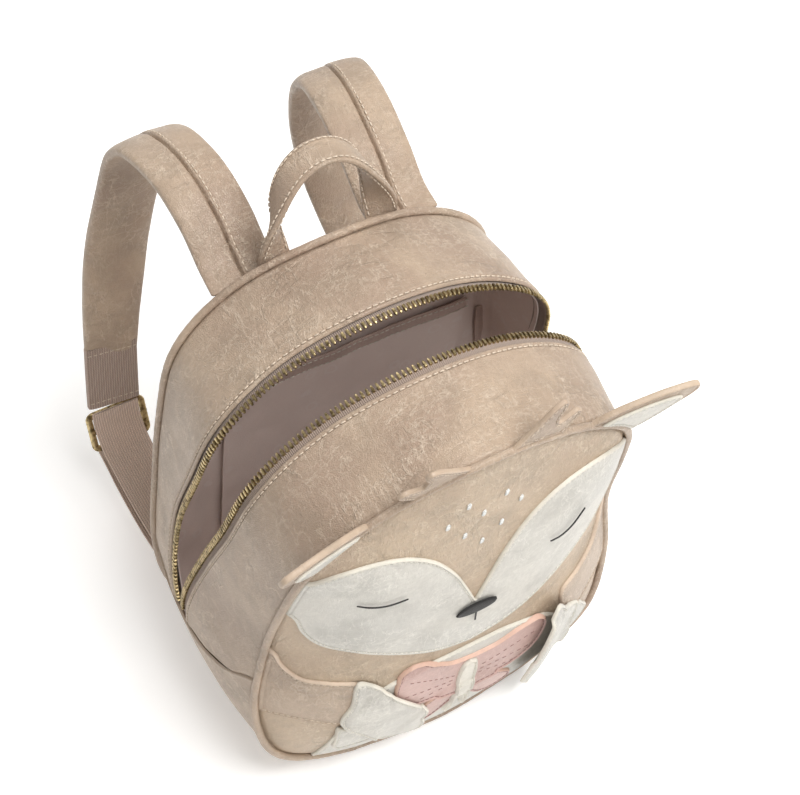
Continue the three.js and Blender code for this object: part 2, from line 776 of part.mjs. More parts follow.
function buildInside(group) {
  addMesh(group, "lining_front", liningGeometry(facePoint, -1), FINISH.lining);
  addMesh(group, "lining_back", liningGeometry(backPoint, 1), FINISH.lining);
  addMesh(group, "inner_pocket", pocketGeometry(), FINISH.lining);
}

// A slab that follows the front panel, in which the leaves of one level are cut
function faceSlab(level) {
  const near = -(SEAM_GAP + level * LEAF_STEP);
  return solidOf(panelGeometry(facePoint, FACE_REACHES, EDGE, near - LEAF, near));
}

function prismOf(shape) {
  const prism = new THREE.ExtrudeGeometry(shape, {
    depth: 2 * BAG_DEPTH,
    bevelEnabled: false,
    curveSegments: 3,
  });
  prism.rotateX(Math.PI / 2);
  return solidOf(prism);
}

function placesOf(rows, centre, turn, mirror) {
  return rows.map((row) => {
    const place = new THREE.Vector2(row.across * HALF_WIDTH, row.up * BAG_HEIGHT);
    place.rotateAround(centre, THREE.MathUtils.degToRad(turn));
    if (mirror) place.x = -place.x;
    return place;
  });
}

// A smooth outline through charted places, or one half of it and its mirror image.
function smoothShape(places) {
  const curve = new THREE.CatmullRomCurve3(
    places.map((place) => new THREE.Vector3(place.x, place.y, 0)),
    true,
    "centripetal",
  );
  return new THREE.Shape(curve.getPoints(places.length * 2).slice(0, -1));
}

// An outline moved outwards all round by at least a clearance, also where an edge slants.
function grown(places, clearance) {
  const middle = places.reduce((sum, place) => sum.add(place), new THREE.Vector2());
  middle.divideScalar(places.length);
  return places.map((place) => {
    const arm = place.clone().sub(middle);
    return place.clone().add(arm.setLength(2 * clearance));
  });
}

function twinShape(half, centre, turn) {
  const curve = new THREE.CatmullRomCurve3(
    half.map((row) => new THREE.Vector3(row.across * HALF_WIDTH, row.up * BAG_HEIGHT, 0)),
    false,
    "centripetal",
  );
  const right = curve.getPoints((half.length - 1) * 2);
  const left = right
    .slice(1, -1)
    .map((place) => new THREE.Vector3(-place.x, place.y, 0))
    .reverse();
  const angle = THREE.MathUtils.degToRad(turn);
  const ring = [...right, ...left].map((place) => {
    const flat = new THREE.Vector2(place.x, place.y);
    return flat.rotateAround(new THREE.Vector2(), angle).add(centre);
  });
  return new THREE.Shape(ring);
}

function buildFawn(group) {
  const middle = new THREE.Vector2(0, 0);
  const bow = new THREE.Vector2(BOW_CENTRE.across, BOW_CENTRE.up);
  const wrist = new THREE.Vector2(WRIST.across, WRIST.up);
  const slabs = [0, 1, 2, 3].map(faceSlab);
  const leaf = (name, level, shape, finish) => {
    const cut = slabs[level].intersect(prismOf(shape));
    addMesh(group, name, geometryOf(cut), finish);
  };
  leaf("cheek_mask", 0, twinShape(MASK_HALF, middle, 0), FINISH.cream);
  leaf("belly", 0, twinShape(BELLY_HALF, middle, 0), FINISH.cream);
  const nose = new THREE.Shape();
  nose.absellipse(0, NOSE.up, NOSE.halfWidth, NOSE.halfHeight, 0, 2 * Math.PI);
  leaf("nose", 1, nose, FINISH.satin);
  leaf("bow_tails", 1, twinShape(TAILS_HALF, bow, 0), FINISH.pink);
  leaf("bow_knot", 3, twinShape(KNOT_HALF, bow, 0), FINISH.cream);
  let loops = slabs[2].intersect(prismOf(twinShape(BOW_HALF, bow, BOW_TILT)));
  for (const [side, mirror] of [["left", true], ["right", false]]) {
    const swing = HOOF_SWING[side];
    leaf(`arm_${side}`, 1, smoothShape(placesOf(ARM, wrist, 0, mirror)), FINISH.leather);
    const hoof = placesOf(HOOF, wrist, swing, mirror);
    leaf(`hoof_${side}`, 2, smoothShape(hoof), FINISH.cream);
    loops = loops.subtract(prismOf(smoothShape(grown(hoof, SEAM_GAP))));
    const lower = smoothShape(placesOf(LOWER_HOOF, wrist, swing, mirror));
    leaf(`hoof_${side}_lower`, 1, lower, FINISH.cream);
  }
  addMesh(group, "bow_loops", geometryOf(loops), FINISH.pink);
}

// A leaf that stands up from the front seam between two stations, leaning forward.
function standingLeaf(settings, side, lean) {
  const mirror = side === "left" ? -1 : 1;
  const foot = evenly(settings.from, settings.to, 5).map((station) => {
    const seam = rim(station);
    const clear = EDGE + SEAM_GAP;
    const x = mirror * (seam.x + seam.outX * clear);
    return new THREE.Vector3(x, seam.front, seam.z + seam.outZ * clear);
  });
  const first = foot[0];
  const along = foot[foot.length - 1].clone().sub(first);
  const length = along.length();
  along.normalize();
  const angle = THREE.MathUtils.degToRad(lean);
  const up = new THREE.Vector3(-along.z, 0, along.x).normalize().multiplyScalar(mirror);
  const out = up.multiplyScalar(Math.cos(angle));
  out.y = -Math.sin(angle);
  out.addScaledVector(along, -out.dot(along)).normalize();
  const face = new THREE.Vector3().crossVectors(along, out).normalize();
  const footPlaces = foot.map((point) => {
    const arm = point.clone().sub(first);
    return new THREE.Vector2(arm.dot(along), arm.dot(out));
  });
  return { first, along, out, face, length, footPlaces };
}

function standingGeometry(frame, outline, height, thickness) {
  const places = outline.map(
    (row) => new THREE.Vector3(row.along * frame.length, row.out * height, 0),
  );
  const curve = new THREE.CatmullRomCurve3(places, false, "centripetal");
  const ring = [
    ...frame.footPlaces.slice().reverse(),
    ...curve.getPoints(places.length * 2).map((place) => new THREE.Vector2(place.x, place.y)),
  ];
  const geometry = new THREE.ExtrudeGeometry(new THREE.Shape(ring), {
    depth: thickness,
    bevelEnabled: false,
  });
  geometry.translate(0, 0, -thickness / 2);
  return geometry;
}

function placeStanding(mesh, frame) {
  const basis = new THREE.Matrix4().makeBasis(frame.along, frame.out, frame.face);
  mesh.applyMatrix4(basis.setPosition(frame.first));
}

const EAR_LINER = { footShare: 0.12, sideShare: 0.16, lengthShare: 0.8 };

function buildEars(group) {
  for (const side of ["left", "right"]) {
    const frame = standingLeaf(EAR, side, EAR_LEAN[side]);
    const leaf = standingGeometry(frame, EAR_OUTLINE, EAR.length, EAR.thickness);
    placeStanding(addMesh(group, `ear_${side}`, leaf, FINISH.leather), frame);
    const inset = EAR_LINER.sideShare * frame.length;
    const raise = EAR_LINER.footShare * EAR.length;
    const inner = {
      ...frame,
      length: frame.length - 2 * inset,
      footPlaces: [new THREE.Vector2(0, 0), new THREE.Vector2(frame.length - 2 * inset, 0)],
    };
    const liner = standingGeometry(inner, EAR_OUTLINE, EAR.length * EAR_LINER.lengthShare, EAR.liner);
    const forward = frame.face.y < 0 ? 1 : -1;
    const proud = forward * (EAR.thickness / 2 + SEAM_GAP + EAR.liner / 2);
    liner.translate(inset, raise, proud);
    placeStanding(addMesh(group, `ear_liner_${side}`, liner, FINISH.cream), frame);
  }
}

function buildAntlers(group) {
  for (const side of ["left", "right"]) {
    const frame = standingLeaf(ANTLER, side, ANTLER.lean[side]);
    const leaf = standingGeometry(frame, ANTLER_OUTLINE, ANTLER.height, ANTLER.thickness);
    placeStanding(addMesh(group, `antler_${side}`, leaf, FINISH.leather), frame);
  }
}

// A section with rounded edges, in the plane of two directions.
function roundedSection(centre, wide, thick, width, thickness, sides) {
  return evenly(0, 2 * Math.PI, sides)
    .slice(0, -1)
    .map((angle) => {
      const cos = Math.cos(angle);
      const sin = Math.sin(angle);
      const across = Math.sign(cos) * Math.sqrt(Math.abs(cos)) * (width / 2);
      const proud = Math.sign(sin) * Math.sqrt(Math.abs(sin)) * (thickness / 2);
      return centre.clone().addScaledVector(wide, across).addScaledVector(thick, proud);
    });
}

function flatSection(centre, wide, thick, width, thickness) {
  const corners = [[-1, -1], [1, -1], [1, 1], [-1, 1]];
  return corners.map(([a, b]) =>
    centre
      .clone()
      .addScaledVector(wide, (a * width) / 2)
      .addScaledVector(thick, (b * thickness) / 2),
  );
}

// A band along a charted line, its width kept level across the bag.
function bandSections(rows, mirror, steps, sectionOf) {
  const places = rows.map(
    (row) =>
      new THREE.Vector3(
        mirror * row.across * HALF_WIDTH,
        row.back * BAG_DEPTH,
        row.up * BAG_HEIGHT,
      ),
  );
  const curve = new THREE.CatmullRomCurve3(places, false, "centripetal");
  return evenly(0, 1, steps).map((share) => {
    const tangent = curve.getTangent(share);
    const wide = new THREE.Vector3(1, 0, 0).addScaledVector(tangent, -tangent.x).normalize();
    const thick = new THREE.Vector3().crossVectors(tangent, wide).normalize();
    const row = share * (rows.length - 1);
    const whole = Math.min(Math.floor(row), rows.length - 2);
    const valueOf = (column) =>
      mix(rows[whole][column], rows[whole + 1][column], row - whole);
    return sectionOf(curve.getPoint(share), wide, thick, valueOf);
  });
}

function buildStraps(group) {
  for (const [side, mirror] of [["left", -1], ["right", 1]]) {
    const strap = bandSections(STRAP, mirror, STRAP_STEPS, (centre, wide, thick, valueOf) =>
      roundedSection(
        centre,
        wide,
        thick,
        STRAP_WIDTH * valueOf("width"),
        STRAP_THICKNESS * valueOf("thick"),
        8,
      ),
    );
    addMesh(group, `strap_${side}`, sweptGeometry(strap, false), FINISH.leather);
    const band = (rows, width, thickness) =>
      sweptGeometry(
        bandSections(rows, mirror, BAND_STEPS, (centre, wide, thick) =>
          flatSection(centre, wide, thick, width, thickness),
        ),
        false,
      );
    const sleeve = band(SLEEVE, SLEEVE_WIDTH, SLEEVE_THICKNESS);
    addMesh(group, `strap_sleeve_${side}`, sleeve, FINISH.webbing);
    const webbing = band(fromBuckle(WEBBING_START, WEBBING), WEBBING_WIDTH, WEBBING_THICKNESS);
    addMesh(group, `webbing_${side}`, webbing, FINISH.webbing);
    const back = band(fromBuckle(RETURN_START, WEBBING_RETURN), WEBBING_WIDTH, WEBBING_THICKNESS);
    addMesh(group, `webbing_return_${side}`, back, FINISH.webbing);
    buildBuckle(group, side, mirror);
  }
}

// The buckle hangs from the end of the sleeve, in line with it.
function buckleCentre(mirror) {
  const sleeveEnd = SLEEVE[SLEEVE.length - 1];
  const lean = THREE.MathUtils.degToRad(BUCKLE.lean);
  const drop = BUCKLE.height / 2 + SLEEVE_THICKNESS / 2;
  return new THREE.Vector3(
    mirror * BUCKLE.across * HALF_WIDTH,
    sleeveEnd.back * BAG_DEPTH - drop * Math.sin(lean),
    sleeveEnd.up * BAG_HEIGHT - drop * Math.cos(lean),
  );
}

// A webbing's rows, with the first one worked out from the buckle
function fromBuckle(start, rows) {
  const centre = buckleCentre(1);
  const first = {
    across: BUCKLE.across,
    back: (centre.y - start.forward) / BAG_DEPTH,
    up: (centre.z - start.down) / BAG_HEIGHT,
  };
  return [first, ...rows];
}

// A three-bar slide: a flat frame with a bar across its middle
function buildBuckle(group, side, mirror) {
  const { width, height, bar, thickness, lean } = BUCKLE;
  const frame = new THREE.Shape();
  frame.moveTo(-width / 2, -height / 2);
  frame.lineTo(width / 2, -height / 2);
  frame.lineTo(width / 2, height / 2);
  frame.lineTo(-width / 2, height / 2);
  const slotHeight = (height - 3 * bar) / 2;
  for (const foot of [-height / 2 + bar, bar / 2]) {
    const slot = new THREE.Path();
    slot.moveTo(-width / 2 + bar, foot);
    slot.lineTo(-width / 2 + bar, foot + slotHeight);
    slot.lineTo(width / 2 - bar, foot + slotHeight);
    slot.lineTo(width / 2 - bar, foot);
    frame.holes.push(slot);
  }
  const geometry = new THREE.ExtrudeGeometry(frame, { depth: thickness, bevelEnabled: false });
  geometry.translate(0, 0, -thickness / 2);
  const mesh = addMesh(group, `buckle_${side}`, geometry, FINISH.brass);
  mesh.rotation.x = Math.PI / 2 - THREE.MathUtils.degToRad(lean);
  mesh.position.copy(buckleCentre(mirror));
}

// The handle is a flat strap whose ends are sewn in side by side and which turns edge-on at its top
function buildHandle(group) {
  const foot = rim(1);
  const baseY = foot.back + EDGE - HANDLE.tuck + HANDLE.thickness / 2;
  const baseZ = BAG_HEIGHT - HANDLE.foot;
  const sections = evenly(-1, 1, HANDLE_STEPS).map((turn) => {
    const angle = (turn * Math.PI) / 2;
    const rise = Math.cos(angle);
    const centreAt = (value) => {
      const swing = Math.sin((value * Math.PI) / 2);
      const lift = Math.cos((value * Math.PI) / 2);
      const x = (Math.sign(swing) * Math.abs(swing) ** HANDLE_ROUND * HANDLE.spread) / 2;
      return new THREE.Vector3(x, baseY + HANDLE.lean * lift, baseZ + HANDLE.rise * lift);
    };
    const before = centreAt(clamp(turn - 0.02, -1, 1));
    const tangent = centreAt(clamp(turn + 0.02, -1, 1)).sub(before).normalize();
    const upright = clamp(rise / HANDLE_ON_EDGE, 0, 1);
    const twist = (Math.sin((upright * Math.PI) / 2) * Math.PI) / 2;
    const wide = new THREE.Vector3(Math.sign(turn || 1) * Math.cos(twist), -Math.sin(twist), 0);
    wide.addScaledVector(tangent, -wide.dot(tangent)).normalize();
    const thick = new THREE.Vector3().crossVectors(tangent, wide).normalize();
    return flatSection(centreAt(turn), wide, thick, HANDLE.width, HANDLE.thickness);
  });
  addMesh(group, "top_handle", sweptGeometry(sections, false), FINISH.leather);
}

const backpack = new THREE.Group();
buildPanels(backpack);
buildPipings(backpack);
buildGussets(backpack);
buildBoot(backpack);
buildZip(backpack);
buildInside(backpack);
buildFawn(backpack);
buildEars(backpack);
buildAntlers(backpack);
buildHandle(backpack);
buildStraps(backpack);

export default backpack;
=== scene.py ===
"""A toddler's backpack with a sleeping fawn on its front, dressed over its CAD frame.

All sizes are in millimetres, in the frame's own axes, and are turned into metres where a mesh is
made. X runs to the right seen from the front, the fawn looks along -Y, and +Z is up.
"""

from __future__ import annotations

import logging
import math
from dataclasses import dataclass, field
from enum import Enum
from typing import Callable, Sequence

import bpy
import numpy as np
from mathutils import Matrix, Vector, noise
from mathutils.geometry import delaunay_2d_cdt


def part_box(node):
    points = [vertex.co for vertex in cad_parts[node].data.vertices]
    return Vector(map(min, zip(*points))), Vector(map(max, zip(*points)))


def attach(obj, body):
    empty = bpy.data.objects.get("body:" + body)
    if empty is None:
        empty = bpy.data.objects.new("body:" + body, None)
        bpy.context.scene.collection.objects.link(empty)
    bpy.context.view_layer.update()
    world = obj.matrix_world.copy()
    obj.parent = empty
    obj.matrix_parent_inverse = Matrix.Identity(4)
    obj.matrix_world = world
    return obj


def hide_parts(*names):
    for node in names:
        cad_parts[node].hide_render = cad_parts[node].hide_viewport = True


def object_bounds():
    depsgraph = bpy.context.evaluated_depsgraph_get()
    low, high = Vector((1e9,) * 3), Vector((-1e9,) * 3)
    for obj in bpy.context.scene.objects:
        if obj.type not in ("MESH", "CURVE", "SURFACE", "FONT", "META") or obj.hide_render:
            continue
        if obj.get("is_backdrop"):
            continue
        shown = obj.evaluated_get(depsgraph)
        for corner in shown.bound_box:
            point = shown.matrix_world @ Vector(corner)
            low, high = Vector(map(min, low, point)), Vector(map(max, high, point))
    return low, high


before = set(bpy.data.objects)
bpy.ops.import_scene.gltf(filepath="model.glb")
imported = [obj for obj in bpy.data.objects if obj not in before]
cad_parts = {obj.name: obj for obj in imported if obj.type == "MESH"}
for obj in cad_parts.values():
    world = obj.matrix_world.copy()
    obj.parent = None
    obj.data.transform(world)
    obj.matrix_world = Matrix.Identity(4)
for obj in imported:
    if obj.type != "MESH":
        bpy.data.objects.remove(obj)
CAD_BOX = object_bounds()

Array = np.ndarray
Piece = bpy.types.Object
MM = 0.001
log = logging.getLogger("backpack")

BAG_WIDTH, BAG_HEIGHT, BAG_DEPTH = 230.0, 292.0, 157.0
HALF_WIDTH = BAG_WIDTH / 2
BASE_RISE = 2.8
PIPING_RADIUS = 2.2
EDGE = PIPING_RADIUS + 0.3
MOUTH_WIDTH = 34.5
TAPE_WIDTH = 6.5
GUSSET_BULGE = 6.0
LINING_DEPTH = 3.4
FACE_MIDDLE = 0.514 * BAG_HEIGHT
FACE_Y = -0.522 * BAG_DEPTH
BACK_Y = 0.53 * BAG_DEPTH
STATION_LENGTH = math.pi * (BAG_WIDTH + BAG_HEIGHT) / 2 / 16
ZIP_FOOT = 5.1

# The two seams, half way round: across, up, front and back, as shares of the bag's sizes.
RIM = (
    (0.0, 1.0, -0.497, 0.503),
    (0.47, 0.938, -0.459, 0.548),
    (0.8, 0.835, -0.433, 0.535),
    (0.9, 0.664, -0.369, 0.522),
    (0.94, 0.469, -0.306, 0.522),
    (1.0, 0.271, -0.325, 0.459),
    (0.9, 0.1, -0.376, 0.414),
    (0.51, 0.0, -0.395, 0.376),
    (0.0, 0.0, -0.433, 0.363),
)
# The zip's course by station: the middle of the mouth as a share of the depth, and its gape.
ZIP_COURSE = (
    (0.0, 0.52, 1.0),
    (1.0, 0.5, 1.0),
    (2.0, 0.475, 0.95),
    (3.0, 0.51, 0.92),
    (4.0, 0.61, 0.82),
    (4.6, 0.66, 0.45),
    (5.0, 0.675, 0.12),
    (5.3, 0.675, 0.12),
)
# The seam between the sides and the boot: share of the depth, station.
BOOT_SEAM = (
    (0.0, 4.42),
    (0.22, 4.85),
    (0.45, 5.08),
    (0.6, 5.16),
    (0.75, 5.16),
    (0.88, 5.0),
    (1.0, 4.75),
)
# A shoulder strap's middle line: across, back, up, and its width and thickness as shares.
STRAP = (
    (0.417, 0.566, 0.918, 1.0, 0.5),
    (0.415, 0.66, 0.93, 1.0, 0.9),
    (0.42, 0.79, 0.972, 1.0, 1.0),
    (0.44, 0.97, 1.0, 1.0, 1.0),
    (0.475, 1.17, 0.978, 1.0, 1.0),
    (0.495, 1.26, 0.92, 1.0, 1.0),
    (0.53, 1.315, 0.79, 1.0, 1.0),
    (0.61, 1.325, 0.62, 0.99, 1.0),
    (0.7, 1.265, 0.45, 0.92, 0.95),
    (0.746, 1.215, 0.368, 0.83, 0.7),
)
SLEEVE = ((0.742, 1.224, 0.385), (0.775, 1.175, 0.3), (0.793, 1.146, 0.246))
WEBBING = (
    (0.797, 1.128, 0.238), (0.8, 1.103, 0.2), (0.803, 1.03, 0.17), (0.805, 0.93, 0.163),
    (0.8, 0.72, 0.15), (0.785, 0.43, 0.146),
)
WEBBING_RETURN = (
    (0.8, 1.09, 0.128), (0.803, 1.02, 0.128), (0.805, 0.92, 0.118), (0.8, 0.71, 0.105),
    (0.785, 0.43, 0.118),
)

# Outlines of the sewn leaves: across as a share of half the width, up as one of the height.
MASK_HALF = (
    (0.0, 0.562), (0.055, 0.62), (0.13, 0.69), (0.245, 0.76), (0.39, 0.802), (0.557, 0.818),
    (0.71, 0.808), (0.82, 0.787), (0.99, 0.79), (0.99, 0.7), (0.86, 0.655), (0.81, 0.59),
    (0.74, 0.545), (0.609, 0.514), (0.417, 0.473), (0.183, 0.429), (0.0, 0.414),
)
BELLY_HALF = (
    (0.0, 0.387), (0.243, 0.38), (0.452, 0.349), (0.591, 0.274), (0.678, 0.171), (0.72, 0.06),
    (0.72, -0.02), (0.0, -0.02),
)
BOW_HALF = (
    (0.0, 0.082), (0.12, 0.088), (0.24, 0.112), (0.345, 0.121), (0.41, 0.1), (0.425, 0.05),
    (0.39, -0.005), (0.28, -0.04), (0.13, -0.052), (0.0, -0.058),
)
TAILS_HALF = (
    (0.0, -0.02), (0.12, -0.036), (0.25, -0.082), (0.32, -0.12), (0.325, -0.15), (0.25, -0.172),
    (0.14, -0.152), (0.045, -0.1), (0.0, -0.086),
)
KNOT_HALF = (
    (0.0, 0.074), (0.036, 0.066), (0.052, 0.04), (0.054, 0.0), (0.05, -0.06), (0.06, -0.11),
    (0.072, -0.15), (0.048, -0.172), (0.025, -0.15), (0.016, -0.11), (0.0, -0.095),
)
ARM = (
    (1.05, 0.52), (0.9, 0.49), (0.865, 0.449), (0.805, 0.418), (0.69, 0.408), (0.56, 0.392),
    (0.575, 0.32), (0.625, 0.255), (0.82, 0.281), (1.05, 0.31),
)
HOOF = (
    (0.57, 0.4), (0.5, 0.385), (0.41, 0.34), (0.315, 0.285), (0.215, 0.22), (0.17, 0.18),
    (0.185, 0.15), (0.165, 0.115), (0.2, 0.085), (0.29, 0.078), (0.4, 0.11), (0.53, 0.19),
    (0.645, 0.262), (0.6, 0.325),
)
LOWER_HOOF = (
    (0.645, 0.238), (0.66, 0.19), (0.65, 0.136), (0.56, 0.128), (0.45, 0.135), (0.5, 0.2),
)
# An antler's and an ear's outline: along as a share of its foot, out as one of its height.
ANTLER_OUTLINE = (
    (0.08, 0.16), (0.24, 0.5), (0.4, 0.88), (0.55, 1.0), (0.66, 0.9), (0.66, 0.6), (0.76, 0.38),
    (1.02, 0.6), (1.16, 0.52), (1.12, 0.34),
)
EAR_OUTLINE = (
    (0.02, 0.22), (0.16, 0.5), (0.42, 0.82), (0.72, 1.0), (0.86, 0.93), (0.97, 0.62),
    (1.02, 0.28),
)


class Side(Enum):
    """The bag's two sides, seen from the front."""

    LEFT = -1
    RIGHT = 1

    @property
    def word(self) -> str:
        """The side's name as the CAD nodes spell it."""
        return self.name.lower()


# Numbers


def smooth(low: float, high: float, value: Array | float) -> Array:
    """A soft step from 0 at low to 1 at high."""
    share = np.clip((np.asarray(value, float) - low) / (high - low), 0, 1)
    return share * share * (3 - 2 * share)


def blend(a: Array | float, b: Array | float, share: Array | float) -> Array:
    """The value a given share of the way from a to b."""
    return np.asarray(a) + (np.asarray(b) - np.asarray(a)) * share


def hill(distance: Array | float, reach: float) -> Array:
    """A soft hill, 1 at no distance and gone at about twice its reach."""
    return np.exp(-((distance / reach) ** 2))


def unit(vectors: Array) -> Array:
    """Vectors scaled to length one."""
    length = np.linalg.norm(vectors, axis=-1, keepdims=True)
    return vectors / np.maximum(length, 1e-9)


def spin(angle: float) -> Array:
    """The matrix that turns flat points, written as rows, by an angle."""
    return np.array([[math.cos(angle), math.sin(angle)], [-math.sin(angle), math.cos(angle)]])


def through(rows: Array, places: Array) -> Array:
    """A cubic through evenly numbered rows.

    Args:
        rows: one row of values for each whole number.
        places: where to read, in row numbers.

    Returns:
        The values there, one row for each place.
    """
    last = len(rows) - 1
    whole = np.clip(np.floor(places).astype(int), 0, last - 1)
    share = (places - whole)[..., None]
    a, b, c, d = (rows[np.clip(whole + step, 0, last)] for step in (-1, 0, 1, 2))
    slope_in, slope_out = (c - a) / 2, (d - b) / 2
    square, cube = share**2, share**3
    return (
        b * (2 * cube - 3 * square + 1)
        + slope_in * (cube - 2 * square + share)
        + c * (3 * square - 2 * cube)
        + slope_out * (cube - square)
    )


def curve_through(points: Array, count: int, closed: bool = False) -> Array:
    """A smooth centripetal line through points, evenly spaced along its length.

    Args:
        points: the places it passes.
        count: how many points the line gets.
        closed: whether it comes back to its start.

    Returns:
        The line's points.
    """
    points = np.asarray(points, float)
    loop = np.vstack([points[-2:], points, points[:2]]) if closed else np.vstack(
        [2 * points[:1] - points[1:2], points, 2 * points[-1:] - points[-2:-1]]
    )
    pad = 2 if closed else 1
    knots = np.concatenate([[0], np.cumsum(np.linalg.norm(np.diff(loop, axis=0), axis=1) ** 0.5)])
    pieces = []
    ends = len(loop) - pad - (0 if closed else 1)
    for i in range(pad, ends):
        p0, p1, p2, p3 = loop[i - 1 : i + 3]
        t0, t1, t2, t3 = knots[i - 1 : i + 3]
        t = np.linspace(t1, t2, 40, endpoint=False)[:, None]
        a1 = (t1 - t) / (t1 - t0) * p0 + (t - t0) / (t1 - t0) * p1
        a2 = (t2 - t) / (t2 - t1) * p1 + (t - t1) / (t2 - t1) * p2
        a3 = (t3 - t) / (t3 - t2) * p2 + (t - t2) / (t3 - t2) * p3
        b1 = (t2 - t) / (t2 - t0) * a1 + (t - t0) / (t2 - t0) * a2
        b2 = (t3 - t) / (t3 - t1) * a2 + (t - t1) / (t3 - t1) * a3
        pieces.append((t2 - t) / (t2 - t1) * b1 + (t - t1) / (t2 - t1) * b2)
    line = np.vstack(pieces + [points[:1] if closed else points[-1:]])
    return spaced(line, count + 1)[:-1] if closed else spaced(line, count)


def spaced(line: Array, count: int) -> Array:
    """A line's points again, evenly spaced along its length."""
    steps = np.linalg.norm(np.diff(line, axis=0), axis=1)
    run = np.concatenate([[0], np.cumsum(steps)])
    places = np.linspace(0, run[-1], count)
    return np.stack([np.interp(places, run, line[:, k]) for k in range(line.shape[1])], axis=1)


def length_of(line: Array) -> float:
    """A line's length."""
    return float(np.linalg.norm(np.diff(line, axis=0), axis=1).sum())


def ripple(points: Array, size: float, seed: float) -> Array:
    """Soft seeded noise from about -1 to 1.

    Args:
        points: where to read it.
        size: how far apart its hills are.
        seed: which noise.

    Returns:
        One number for each point.
    """
    flat = points.reshape(-1, 3) / size
    shift = Vector((seed * 7.3, seed * 3.1, seed * 5.7))
    values = [noise.noise(Vector(point) + shift) for point in flat]
    return np.array(values).reshape(points.shape[:-1]) * 1.6


def mm_rows(near: Sequence[float], middle: int, far: Sequence[float]) -> list[tuple[float, float]]:
    """Rows across a strip: some at set distances from each edge, the rest evenly between.

    Args:
        near: distances from the first edge, rising.
        middle: how many rows lie between.
        far: distances from the second edge, falling.

    Returns:
        Pairs of a distance from the first edge and a share of what is left; a share of 1 counts
        its distance back from the second edge.
    """
    between = [(near[-1], step / (middle + 1), far[0]) for step in range(1, middle + 1)]
    return [(d, 0.0, 0.0) for d in near] + between + [(0.0, 1.0, d) for d in far]


# The bag's form


